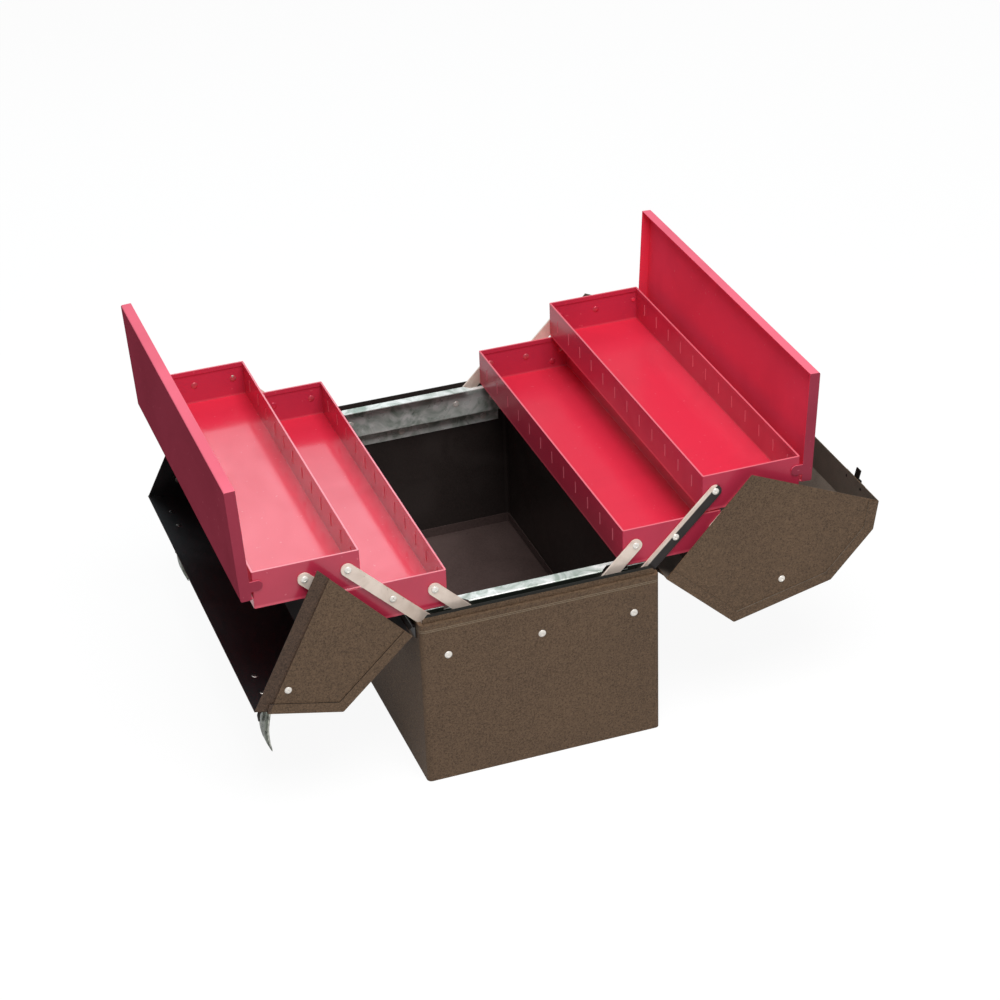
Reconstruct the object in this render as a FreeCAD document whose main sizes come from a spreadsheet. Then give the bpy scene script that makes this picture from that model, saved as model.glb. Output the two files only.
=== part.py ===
import FreeCAD, Part
import math
import os
import re
import Sketcher

# Cantilever tool box, standing open. X runs across the box, Y along it with the front end at
# the negative side, Z up. The origin is the middle of the underside. Millimetres and degrees.

doc = FreeCAD.newDocument("CantileverToolBox")
sheet = doc.addObject("Spreadsheet::Sheet", "Size")

# Driving sizes
SIZES = [
    ("base_width", 254.0, "base, outside, across"),
    ("base_length", 457.0, "base, outside, along"),
    ("step_height", 187.0, "underside to the step below the rim"),
    ("rim_rise", 10.0, "rim above the step"),
    ("gauge", 0.9, "sheet of base, lids, trays, covers and channels"),
    ("corner_radius", 5.0, "outside corners of the base"),
    ("layer_gap", 0.3, "clearance between sheets that slide past each other"),
    ("seat_gap", 0.2, "clearance between sheets that are welded or riveted"),
    ("bend_radius", 2.2, "outside radius of the sheet bends"),
    ("floor_flange", 12.0, "upturned edge of the floor"),
    ("notch_length", 17.0, "gap in the side rims beside each end"),
    ("rim_chamfer", 6.0, "cut corner of the end rims"),
    ("step_notch", 1.2, "notch in the step under the long arms"),
    ("web_offset", 13.0, "end face of the base to the web of the end channel"),
    ("channel_length", 234.0, "end channel, along the end wall"),
    ("channel_ledge", 13.0, "flat top of the end channel"),
    ("channel_web", 39.0, "web height of the end channel"),
    ("channel_lip", 18.0, "riveted lip of the end channel"),
    ("relief_out", 97.5, "outer end of the relief in the ledge"),
    ("relief_in", 69.0, "inner end of the relief in the ledge"),
    ("relief_slant", 9.0, "slant of the inner end of the relief"),
    ("relief_depth", 8.0, "depth of the relief in the ledge"),
    ("relief_drop", 4.0, "drop of the relief into the web"),
    ("wall_rivet_pitch", 99.0, "pitch of the three rivets in each end wall"),
    ("wall_rivet_up", 8.0, "end wall rivets above the lower edge of the lip"),
    ("arm_pitch", 61.0, "pivot to pivot along an arm"),
    ("arm_tilt", 45.0, "lean of the open arms from upright"),
    ("arm_width", 13.5, "arm and strap width"),
    ("arm_gauge", 2.0, "arm and strap thickness"),
    ("arm_gap", 0.4, "arm to web and to tray"),
    ("arm_foot_x", 106.0, "base pivot of the long arm from the middle"),
    ("arm_foot_down", 20.8, "base pivots below the rim"),
    ("stud_radius", 2.5, "shank of the pivot rivets"),
    ("head_radius", 3.7, "head of the pivot rivets"),
    ("head_height", 1.5, "head height of the pivot rivets"),
    ("head_gap", 0.15, "rivet head to arm"),
    ("tail_height", 1.0, "closed end of a rivet"),
    ("running_fit", 0.05, "radial clearance of a pivot"),
    ("wall_shank", 2.0, "shank of the end wall rivets"),
    ("wall_head", 4.0, "head of the end wall rivets"),
    ("tray_width", 107.0, "tray, outside, across"),
    ("tray_height", 40.5, "tray, outside"),
    ("tray_middle_gap", 13.0, "gap between the closed left and right trays"),
    ("tray_rest", 0.3, "lower tray above the rim"),
    ("tray_corner", 1.6, "upright corners of the trays"),
    ("hem_height", 5.0, "folded top edge of the trays"),
    ("slot_height", 14.0, "divider slot"),
    ("slot_width", 1.4, "divider slot"),
    ("slot_up", 14.0, "divider slots above the tray floor"),
    ("slot_count", 12.0, "divider slots along a tray"),
    ("slot_margin", 26.0, "first divider slot from the end of the tray"),
    ("strap_tray_in", 18.8, "tray pin of the strap, in from the outer wall"),
    ("strap_tray_up", 9.7, "tray pin of the strap, above the tray bottom"),
    ("strap_lid_x", 62.0, "lid pin of the strap from the middle, box closed"),
    ("strap_lid_rise", 120.9, "lid pin of the strap above the hinge, box closed"),
    ("strap_gap", 1.4, "strap to the rivet heads of the arms"),
    ("hinge_out", 2.0, "hinge pin outside the side wall"),
    ("hinge_down", 5.5, "hinge pin below the step"),
    ("knuckle_radius", 1.6, "hinge knuckles"),
    ("pin_radius", 0.9, "hinge pin"),
    ("leaf_gauge", 0.8, "hinge leaves"),
    ("leaf_reach", 14.0, "hinge leaf from the pin to its edge"),
    ("leaf_gap", 0.3, "hinge leaf to the wall behind it"),
    ("knuckle_length", 144.0, "one hinge knuckle"),
    ("knuckle_gap", 0.4, "between hinge knuckles"),
    ("lid_open", 133.0, "swing of the lids"),
    ("lid_foot_gap", 0.6, "closed lid above the step"),
    ("lid_wall", 102.4, "upright wall of the lids"),
    ("lid_slope", 34.0, "slope of the lids from level"),
    ("flat_half", 34.1, "half of the flat top"),
    ("lip_length", 32.7, "lip of the right lid over the left slope"),
    ("slope_end_x", 51.5, "upper edge of the left lid from the middle"),
    ("left_foot_x", 4.0, "foot of the left seam past the middle"),
    ("right_foot_x", 9.0, "foot of the right seam past the middle"),
    ("joggle_width", 13.2, "sunk edge of the left lid under the lip"),
    ("joggle_depth", 1.3, "how far that edge is sunk"),
    ("strip_width", 14.5, "sunk seam strip of the left end panels"),
    ("band_width", 11.0, "edge of the lid sheet folded over the end panels"),
    ("cover_pivot_in", 4.5, "cover pivot in from the outer tray wall"),
    ("cover_pivot_down", 15.0, "cover pivot below the tray top"),
    ("cover_rise", 18.0, "cover top above its pivot, closed"),
    ("cover_free", 107.5, "cover pivot to its free edge"),
    ("cover_back", 14.0, "cover pivot to its hinge edge"),
    ("cover_depth", 11.0, "flange of the cover"),
    ("cover_open", 93.0, "swing of the cover"),
    ("lug_radius", 5.5, "pivot lug of the cover"),
    ("cover_pin", 2.2, "pivot boss of the cover"),
    ("latch_inset", 54.0, "middle of a latch from the end of the box"),
    ("latch_width", 42.0, "latch plate and keeper, along the box"),
    ("latch_gauge", 1.2, "latch plate and keeper"),
    ("latch_rivet_half", 16.0, "latch rivets from the middle of the latch"),
    ("latch_rivet_s", 18.6, "latch rivets down from the edge of the left lid"),
    ("latch_plate_top", 14.2, "upper edge of the latch plate from the lid edge"),
    ("latch_plate_run", 14.8, "latch plate down the slope"),
    ("latch_pivot_s", 24.0, "latch pivot down from the edge of the left lid"),
    ("latch_pivot_n", 8.0, "latch pivot above the slope"),
    ("latch_pin", 1.3, "latch pin"),
    ("latch_ear", 4.5, "ear of the latch plate around the pin"),
    ("hasp_width", 20.0, "hasp"),
    ("hasp_gauge", 1.6, "hasp"),
    ("hasp_length", 68.0, "hasp from pin to tip"),
    ("hasp_barrel", 3.0, "hasp barrel"),
    ("hasp_side_gap", 0.5, "hasp to the ears"),
    ("hasp_curl", 5.0, "outward curl of the hasp tip"),
    ("hasp_hook_at", 21.0, "hook of the hasp from the pin"),
    ("hasp_hook_reach", 5.6, "hook of the hasp, out of its face"),
    ("hasp_hook_drop", 8.0, "hook of the hasp, along its length"),
    ("hasp_hook_width", 7.0, "hook of the hasp"),
    ("keeper_rivet_s", 6.6, "keeper rivets up from the lip edge datum"),
    ("keeper_run", 9.0, "keeper along the slope"),
    ("keeper_width", 9.0, "post and tongue of the keeper"),
    ("keeper_post", 6.4, "post of the keeper above the lip"),
    ("keeper_tongue", 9.0, "tongue of the keeper past the lip edge"),
    ("keeper_tail", 0.1, "closed end of the keeper rivets, nearly flush under the lip"),
    ("latch_shank", 1.7, "shank of the latch rivets"),
    ("latch_head", 3.0, "head of the latch rivets"),
    ("latch_head_height", 1.2, "head height of the latch rivets"),
    ("handle_span", 92.0, "handle between its legs"),
    ("handle_leg", 34.0, "handle pivot to grip"),
    ("handle_rod", 3.5, "handle rod radius"),
    ("handle_rise", 6.2, "handle pivot above the lid"),
    ("bracket_wall", 1.6, "handle bracket sheet"),
    ("bracket_width", 12.0, "handle bracket, along the box"),
    ("bracket_gap", 2.0, "handle leg to bracket"),
    ("bracket_half", 14.0, "half length of the bracket, across the box"),
    ("bracket_rivet_x", 10.2, "bracket rivets from the handle pivot"),
]

# Sizes that follow from them
DERIVED = [
    ("half_w", "base_width / 2"),
    ("half_l", "base_length / 2"),
    ("rim_inset", "3 * gauge + 2 * layer_gap"),
    ("rim_top", "step_height + rim_rise"),
    ("arm_step", "arm_pitch * sin(arm_tilt)"),
    ("arm_lift", "arm_pitch * cos(arm_tilt)"),
    ("arm_foot_z", "rim_top - arm_foot_down"),
    ("arm_back", "web_offset - arm_gap"),
    ("arm_front", "arm_back - arm_gauge"),
    ("tray_half_l", "half_l - web_offset"),
    ("tray_closed_x", "tray_middle_gap / 2"),
    ("lower_x", "tray_closed_x + 2 * arm_step"),
    ("upper_x", "tray_closed_x + 4 * arm_step"),
    ("lower_z", "rim_top + tray_rest"),
    ("upper_z", "lower_z + arm_lift"),
    ("tray_pivot_up", "arm_foot_z + arm_lift - lower_z"),
    ("tray_pivot_x", "arm_foot_x + arm_step - lower_x"),
    ("upper_pivot_x", "arm_foot_x + 2 * arm_step - upper_x"),
    ("hinge_x", "half_w + hinge_out"),
    ("hinge_z", "step_height - hinge_down"),
    ("hinge_run", "3 * knuckle_length"),
    ("lid_foot", "step_height + lid_foot_gap"),
    ("lid_bend_z", "lid_foot + lid_wall"),
    ("lid_top", "lid_bend_z + (half_w - flat_half) * tan(lid_slope)"),
    ("slope_end_z", "lid_bend_z + (half_w - slope_end_x) * tan(lid_slope)"),
    ("fold", "tan((90 - lid_slope) / 2)"),
    ("ridge", "tan(lid_slope / 2)"),
    ("lip_end_x", "flat_half + lip_length * cos(lid_slope)"),
    ("lip_end_z", "lid_top - lip_length * sin(lid_slope)"),
    ("lip_overlap", "(lip_end_x - slope_end_x) / cos(lid_slope)"),
    ("seam_lean", "(slope_end_x + left_foot_x) / (slope_end_z - lid_foot)"),
    ("strip_run", "strip_width * sqrt(1 + seam_lean * seam_lean)"),
    ("strip_layer", "2 * gauge + layer_gap"),
    ("strap_u", "strap_lid_x - hinge_x"),
    ("strap_lid_px", "hinge_x + strap_u * cos(lid_open) + strap_lid_rise * sin(lid_open)"),
    ("strap_lid_pz", "hinge_z - strap_u * sin(lid_open) + strap_lid_rise * cos(lid_open)"),
    ("strap_tray_px", "lower_x + tray_width - strap_tray_in"),
    ("strap_tray_pz", "lower_z + strap_tray_up"),
    ("strap_dx", "strap_tray_px - strap_lid_px"),
    ("strap_dz", "strap_tray_pz - strap_lid_pz"),
    ("strap_length", "sqrt(strap_dx * strap_dx + strap_dz * strap_dz)"),
    ("strap_back", "arm_front - head_gap - head_height - strap_gap"),
    ("strap_front", "strap_back - arm_gauge"),
    ("cover_px", "upper_x + tray_width - cover_pivot_in"),
    ("cover_pz", "upper_z + tray_height - cover_pivot_down"),
    ("cover_lean", "cover_open - 90"),
    ("cover_stop", "cover_pivot_in + layer_gap + cover_back * sin(cover_lean)"),
    ("cover_deep", "cover_rise - cover_stop / cos(cover_lean)"),
    ("cover_end", "tray_half_l + layer_gap"),
    ("latch_y", "half_l - latch_inset"),
    ("handle_y", "handle_span / 2 + handle_rod + bracket_gap + bracket_width / 2"),
]


def fill_sheet():
    row = 1
    for name, number, note in SIZES:
        sheet.set("A%d" % row, note)
        sheet.set("B%d" % row, str(number))
        sheet.setAlias("B%d" % row, name)
        row += 1
    for name, formula in DERIVED:
        sheet.set("B%d" % row, "=" + formula)
        sheet.setAlias("B%d" % row, name)
        row += 1
    doc.recompute()


fill_sheet()
ALIASES = [entry[0] for entry in SIZES] + [entry[0] for entry in DERIVED]
PATTERN = re.compile(r"\b(%s)\b" % "|".join(sorted(ALIASES, key=len, reverse=True)))


def bound(text):
    """The text with every size named as a cell of the sheet."""
    return PATTERN.sub(r"Size.\1", text)


def value(text):
    """The number that the text stands for."""
    return float(sheet.evalExpression(text))


# Bodies, sketches and features

def new_body(label):
    body = doc.addObject("PartDesign::Body", label)
    body.Label = label
    return body


def place(body, x="0", y="0", z="0", angle=None):
    """Places a body; the angle turns it about Y."""
    if angle is not None:
        turn = FreeCAD.Rotation(FreeCAD.Vector(0, 1, 0), value(angle))
        body.Placement = FreeCAD.Placement(FreeCAD.Vector(0, 0, 0), turn)
        body.setExpression("Placement.Rotation.Angle", bound("(%s) * 1 deg" % angle))
    for axis, text in (("x", x), ("y", y), ("z", z)):
        body.setExpression("Placement.Base." + axis, bound(text))
    return body


def new_sketch(body, name, role, offset):
    """A sketch on one of the body's own planes, moved along the plane's normal."""
    sketch = body.newObject("Sketcher::SketchObject", name)
    plane = [item for item in body.Origin.OriginFeatures if item.Role == role][0]
    sketch.AttachmentSupport = [(plane, "")]
    sketch.MapMode = "FlatFace"
    sketch.setExpression("AttachmentOffset.Base.z", bound(offset))
    return sketch


def fix(sketch, kind, first, first_point, second, second_point, text):
    number = value(text)
    index = sketch.addConstraint(
        Sketcher.Constraint(kind, first, first_point, second, second_point, number))
    sketch.setExpression("Constraints[%d]" % index, bound(text))


def add_polygon(sketch, points):
    """A closed outline whose corners are tied to the sheet."""
    flat = [FreeCAD.Vector(value(a), value(b), 0) for a, b in points]
    count = len(flat)
    start = len(sketch.Geometry)
    lines = [Part.LineSegment(flat[i], flat[(i + 1) % count]) for i in range(count)]
    sketch.addGeometry(lines)
    for i in range(count):
        after = start + (i + 1) % count
        sketch.addConstraint(Sketcher.Constraint("Coincident", start + i, 2, after, 1))
    for i, (a, b) in enumerate(points):
        fix(sketch, "DistanceX", -1, 1, start + i, 1, a)
        fix(sketch, "DistanceY", -1, 1, start + i, 1, b)


def add_circle(sketch, a, b, radius):
    centre = FreeCAD.Vector(value(a), value(b), 0)
    index = sketch.addGeometry(Part.Circle(centre, FreeCAD.Vector(0, 0, 1), value(radius)))
    ring = sketch.addConstraint(Sketcher.Constraint("Radius", index, value(radius)))
    sketch.setExpression("Constraints[%d]" % ring, bound(radius))
    fix(sketch, "DistanceX", -1, 1, index, 3, a)
    fix(sketch, "DistanceY", -1, 1, index, 3, b)


def add_octagon(sketch, a, b, radius):
    """A regular octagon drawn inside a construction circle, one side level."""
    r = value(radius)
    turn = math.pi / 4
    flat = [FreeCAD.Vector(value(a) + r * math.cos((k - 2.5) * turn),
                           value(b) + r * math.sin((k - 2.5) * turn), 0) for k in range(8)]
    start = len(sketch.Geometry)
    sketch.addGeometry([Part.LineSegment(flat[k], flat[(k + 1) % 8]) for k in range(8)])
    ring = len(sketch.Geometry)
    add_circle(sketch, a, b, radius)
    sketch.setConstruction(ring, True)
    for k in range(8):
        sketch.addConstraint(Sketcher.Constraint("Coincident", start + k, 2, start + (k + 1) % 8, 1))
        sketch.addConstraint(Sketcher.Constraint("PointOnObject", start + k, 1, ring))
    for k in range(1, 8):
        sketch.addConstraint(Sketcher.Constraint("Equal", start, start + k))
    sketch.addConstraint(Sketcher.Constraint("Horizontal", start))


def add_rounded(sketch, a, b, radius):
    """A centred rectangle with half sizes a and b and rounded corners."""
    w, d, r = value(a), value(b), value(radius)
    start = len(sketch.Geometry)
    corners = [(1, 1), (-1, 1), (-1, -1), (1, -1)]
    ends = []
    for k, (p, q) in enumerate(corners):
        first = (p * w, q * (d - r)) if k % 2 == 0 else (p * (w - r), q * d)
        last = (p * (w - r), q * d) if k % 2 == 0 else (p * w, q * (d - r))
        ends.append((first, last))
        turn = math.radians(90 * k)
        circle = Part.Circle(FreeCAD.Vector(p * (w - r), q * (d - r), 0), FreeCAD.Vector(0, 0, 1), r)
        sketch.addGeometry(Part.ArcOfCircle(circle, turn, turn + math.pi / 2))
    for k in range(4):
        p0 = ends[k][1]
        p1 = ends[(k + 1) % 4][0]
        sketch.addGeometry(Part.LineSegment(FreeCAD.Vector(*p0, 0), FreeCAD.Vector(*p1, 0)))
    for k, (p, q) in enumerate(corners):
        arc, line, before = start + k, start + 4 + k, start + 4 + (k + 3) % 4
        sketch.addConstraint(Sketcher.Constraint("Coincident", arc, 2, line, 1))
        sketch.addConstraint(Sketcher.Constraint("Coincident", arc, 1, before, 2))
        ring = sketch.addConstraint(Sketcher.Constraint("Radius", arc, r))
        sketch.setExpression("Constraints[%d]" % ring, bound(radius))
        wide = ("%d * (%s)" % (p, a), "%d * (%s - (%s))" % (q, b, radius))
        deep = ("%d * (%s - (%s))" % (p, a, radius), "%d * (%s)" % (q, b))
        first, last = (wide, deep) if k % 2 == 0 else (deep, wide)
        fix(sketch, "DistanceX", -1, 1, arc, 1, first[0])
        fix(sketch, "DistanceY", -1, 1, arc, 1, first[1])
        fix(sketch, "DistanceX", -1, 1, arc, 2, last[0])
        fix(sketch, "DistanceY", -1, 1, arc, 2, last[1])


def add_bar(sketch, length, radius):
    """An upright bar with round ends, from the origin up."""
    span, r = value(length), value(radius)
    up = FreeCAD.Vector(0, 0, 1)
    start = len(sketch.Geometry)
    low = Part.Circle(FreeCAD.Vector(0, 0, 0), up, r)
    high = Part.Circle(FreeCAD.Vector(0, span, 0), up, r)
    sketch.addGeometry(Part.ArcOfCircle(low, math.pi, 2 * math.pi))
    sketch.addGeometry(Part.LineSegment(FreeCAD.Vector(r, 0, 0), FreeCAD.Vector(r, span, 0)))
    sketch.addGeometry(Part.ArcOfCircle(high, 0, math.pi))
    sketch.addGeometry(Part.LineSegment(FreeCAD.Vector(-r, span, 0), FreeCAD.Vector(-r, 0, 0)))
    for k, (near, far) in enumerate(((2, 1), (2, 1), (2, 1), (2, 1))):
        sketch.addConstraint(
            Sketcher.Constraint("Coincident", start + k, near, start + (k + 1) % 4, far))
    for k, (x, z) in enumerate((("-(%s)", "0"), ("%s", "0"), ("%s", length), ("-(%s)", length))):
        across = x % radius
        fix(sketch, "DistanceX", -1, 1, start + k, 1, across)
        fix(sketch, "DistanceY", -1, 1, start + k, 1, z)
    fix(sketch, "DistanceY", -1, 1, start, 3, "0")
    fix(sketch, "DistanceY", -1, 1, start + 2, 3, length)


def draw(sketch, shapes):
    """Shapes are tuples that start with the name of the shape."""
    for shape in shapes:
        if shape[0] == "circle":
            add_circle(sketch, *shape[1:])
        elif shape[0] == "octagon":
            add_octagon(sketch, *shape[1:])
        elif shape[0] == "rounded":
            add_rounded(sketch, *shape[1:])
        elif shape[0] == "bar":
            add_bar(sketch, *shape[1:])
        else:
            add_polygon(sketch, shape[1])


ROLE = {"XY": "XY_Plane", "XZ": "XZ_Plane", "YZ": "YZ_Plane"}


def prism(body, name, plane, low, high, *shapes):
    """Adds material between two levels along the plane's axis."""
    start = "-(%s)" % high if plane == "XZ" else low
    sketch = new_sketch(body, name + "_outline", ROLE[plane], start)
    draw(sketch, shapes)
    pad = body.newObject("PartDesign::Pad", name)
    pad.Profile = sketch
    pad.setExpression("Length", bound("(%s) - (%s)" % (high, low)))
    return pad


def cut(body, name, plane, low, high, *shapes):
    """Removes material between two levels along the plane's axis."""
    start = "-(%s)" % low if plane == "XZ" else high
    sketch = new_sketch(body, name + "_outline", ROLE[plane], start)
    draw(sketch, shapes)
    pocket = body.newObject("PartDesign::Pocket", name)
    pocket.Profile = sketch
    pocket.setExpression("Length", bound("(%s) - (%s)" % (high, low)))
    return pocket


def repeat(body, name, features, length, count):
    """Copies features along Y; the length is from the first copy to the last."""
    pattern = body.newObject("PartDesign::LinearPattern", name)
    pattern.Originals = features
    axis = [item for item in body.Origin.OriginFeatures if item.Role == "Y_Axis"][0]
    pattern.Direction = (axis, [""])
    pattern.setExpression("Length", bound(length))
    pattern.setExpression("Occurrences", bound(count))
    body.Tip = pattern
    return pattern


def round_edges(body, name, base, radius, axis, places):
    """Rounds the straight edges along an axis that pass through the given places."""
    doc.recompute()
    wanted = [tuple(value(part) for part in spot) for spot in places]
    along = {"X": 0, "Y": 1, "Z": 2}[axis]
    found = []
    for index, edge in enumerate(base.Shape.Edges):
        if len(edge.Vertexes) != 2:
            continue
        a, b = edge.Vertexes[0].Point, edge.Vertexes[1].Point
        across = [k for k in range(3) if k != along]
        if any(abs(a[k] - b[k]) > 1e-4 for k in across):
            continue
        for spot in wanted:
            if all(abs(a[k] - spot[j]) < 1e-3 for j, k in enumerate(across)):
                found.append("Edge%d" % (index + 1))
    fillet = body.newObject("PartDesign::Fillet", name)
    fillet.Base = (base, found)
    fillet.setExpression("Radius", bound(radius))
    return fillet


def end_layer(end, near, far):
    """Levels along Y of a layer measured inward from an end face of the base."""
    if end == "front":
        return "-half_l + (%s)" % near, "-half_l + (%s)" % far
    return "half_l - (%s)" % far, "half_l - (%s)" % near


ENDS = ("front", "back")
SIDES = {"left": -1, "right": 1}

# Base: one wrapped wall with a step, a sunk rim and gaps in the side rims for the arms

base = new_body("base_shell")
prism(base, "wall", "XY", "0", "step_height - gauge",
      ("rounded", "half_w", "half_l", "corner_radius"),
      ("rounded", "half_w - gauge", "half_l - gauge", "corner_radius - gauge"))
RIM_RADIUS = "corner_radius - rim_inset"
prism(base, "step", "XY", "step_height - gauge", "step_height",
      ("rounded", "half_w", "half_l", "corner_radius"),
      ("rounded", "half_w - rim_inset - gauge", "half_l - rim_inset - gauge",
       "corner_radius - rim_inset"))
prism(base, "rim", "XY", "step_height", "rim_top",
      ("rounded", "half_w - rim_inset", "half_l - rim_inset", RIM_RADIUS + " + gauge"),
      ("rounded", "half_w - rim_inset - gauge", "half_l - rim_inset - gauge", RIM_RADIUS))
for end in ENDS:
    low, high = end_layer(end, "-gauge", "notch_length")
    gaps = []
    for s in (1, -1):
        points = [("half_w - rim_inset - gauge - rim_chamfer", "rim_top + gauge"),
                  ("half_w + gauge", "rim_top + gauge"),
                  ("half_w + gauge", "step_height"),
                  ("half_w - rim_inset - gauge", "step_height"),
                  ("half_w - rim_inset - gauge", "rim_top - rim_chamfer")]
        gaps.append(("polygon", [("%d * (%s)" % (s, a), b) for a, b in points]))
    cut(base, "arm_gap_" + end, "XZ", low, high, *gaps)
    low, high = end_layer(end, "arm_front - 2 * arm_gap", "notch_length")
    ways = []
    for s in (1, -1):
        points = [("half_w - rim_inset - 2 * gauge", "rim_top"), ("half_w + gauge", "rim_top"),
                  ("half_w + gauge", "step_height - step_notch"),
                  ("half_w - rim_inset - 2 * gauge", "step_height - step_notch")]
        ways.append(("polygon", [("%d * (%s)" % (s, a), b) for a, b in points]))
    cut(base, "arm_way_" + end, "XZ", low, high, *ways)
WALL_RIVETS = [("%d * wall_rivet_pitch" % k, "rim_top - channel_web - channel_lip + wall_rivet_up")
               for k in (-1, 0, 1)]
place(base)

# Floor: a pan with an upturned edge inside the wall

floor = new_body("base_floor")
PAN = ("rounded", "half_w - gauge - seat_gap", "half_l - gauge - seat_gap",
       "corner_radius - gauge - seat_gap")
INNER_PAN = ("rounded", "half_w - 2 * gauge - seat_gap", "half_l - 2 * gauge - seat_gap",
             "corner_radius - 2 * gauge - seat_gap")
prism(floor, "plate", "XY", "0", "gauge", PAN)
prism(floor, "edge", "XY", "gauge", "floor_flange", PAN, INNER_PAN)
place(floor)

# End channels: a ledge, a web that carries the arm pivots and a lip riveted to the wall

BASE_PIVOTS = [("%d * arm_foot_x" % s, "arm_foot_z") for s in (-1, 1)]
BASE_PIVOTS += [("%d * (arm_foot_x - arm_step)" % s, "arm_foot_z") for s in (-1, 1)]
WEB_FOOT = "(rim_top - channel_web)"
for end in ENDS:
    s = -1 if end == "front" else 1
    channel = new_body("end_channel_" + end)
    section = [("web_offset", "rim_top"), ("web_offset + channel_ledge", "rim_top"),
               ("web_offset + channel_ledge", "rim_top - gauge"),
               ("web_offset + gauge", "rim_top - gauge"),
               ("web_offset + gauge", WEB_FOOT), ("2 * gauge + seat_gap", WEB_FOOT),
               ("2 * gauge + seat_gap", WEB_FOOT + " - channel_lip"),
               ("gauge + seat_gap", WEB_FOOT + " - channel_lip"),
               ("gauge + seat_gap", WEB_FOOT + " + gauge"),
               ("web_offset", WEB_FOOT + " + gauge")]
    section = [("%d * (half_l - (%s))" % (s, d), z) for d, z in section]
    sheet_pad = prism(channel, "section", "YZ", "-channel_length / 2", "channel_length / 2",
                      ("polygon", section))
    round_edges(channel, "outer_bends", sheet_pad, "bend_radius", "X",
                [section[0], section[4], section[8]])
    round_edges(channel, "inner_bends", channel.Tip, "bend_radius - gauge", "X",
                [section[3], section[5], section[9]])
    reliefs = []
    for side in (-1, 1):
        corners = [("relief_out", "web_offset - gauge"), ("relief_out", "web_offset + relief_depth"),
                   ("relief_in + relief_slant", "web_offset + relief_depth"),
                   ("relief_in", "web_offset - gauge")]
        reliefs.append(("polygon", [("%d * (%s)" % (side, x), "%d * (half_l - (%s))" % (s, d))
                                    for x, d in corners]))
    cut(channel, "arm_reliefs", "XY", "rim_top - relief_drop", "rim_top + gauge", *reliefs)
    place(channel)


# Rivets: shank, head outside and tail inside, one group of separate pieces per body

def rivet_group(label, spots, shank, head, tail, layers, extra=()):
    """Layers give the head, shank and tail limits inward from each end face."""
    group = new_body(label)
    for end in ENDS:
        for name, radius, near, far in (("shank", shank, layers[0], layers[3]),
                                        ("head", head, layers[0], layers[1]),
                                        ("tail", tail, layers[2], layers[3])):
            low, high = end_layer(end, near, far)
            prism(group, "%s_%s" % (name, end), "XZ", low, high,
                  *[("octagon", x, z, radius) for x, z in spots])
        for name, x, z, radius, near, far in extra:
            low, high = end_layer(end, near, far)
            prism(group, "%s_%s" % (name, end), "XZ", low, high, ("octagon", x, z, radius))
    return group


place(rivet_group("base_wall_rivets", WALL_RIVETS, "wall_shank", "wall_head", "wall_head",
                  ("-head_height", "0", "2 * gauge + seat_gap", "2 * gauge + seat_gap + tail_height")))
HEAD_LAYERS = ("arm_front - head_gap - head_height", "arm_front - head_gap",
               "web_offset + gauge", "web_offset + gauge + tail_height")
place(rivet_group("base_pivot_rivets", BASE_PIVOTS, "stud_radius", "head_radius", "head_radius",
                  HEAD_LAYERS))

# Arms: flat bars with round ends on both ends of the trays


def bar_body(label, length, holes, low, high):
    bar = new_body(label)
    prism(bar, "bar", "XZ", low, high, ("bar", length, "arm_width / 2"))
    cut(bar, "pivot_holes", "XZ", low + " - gauge", high + " + gauge",
        *[("circle", "0", z, "stud_radius + running_fit") for z in holes])
    return bar


for side, s in SIDES.items():
    for end in ENDS:
        low, high = end_layer(end, "arm_front", "arm_back")
        where = "_%s_%s" % (side, end)
        tilt = "%d * arm_tilt" % s
        arm = bar_body("long_arm" + where, "2 * arm_pitch", ("0", "arm_pitch", "2 * arm_pitch"), low, high)
        place(arm, "%d * arm_foot_x" % s, "0", "arm_foot_z", tilt)
        arm = bar_body("short_arm" + where, "arm_pitch", ("0", "arm_pitch"), low, high)
        place(arm, "%d * (arm_foot_x - arm_step)" % s, "0", "arm_foot_z", tilt)
        arm = bar_body("upper_arm" + where, "arm_pitch", ("0", "arm_pitch"), low, high)
        place(arm, "%d * (arm_foot_x + 2 * arm_step)" % s, "0", "arm_foot_z + arm_lift", tilt)
        low, high = end_layer(end, "strap_front", "strap_back")
        strap = bar_body("lid_strap" + where, "strap_length", ("0",), low, high)
        place(strap, "%d * strap_lid_px" % s, "0", "strap_lid_pz",
              "%d * atan2(strap_dx; strap_dz)" % s)

# Trays: a pan with folded rims, slots for dividers and holes for the pivots


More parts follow.
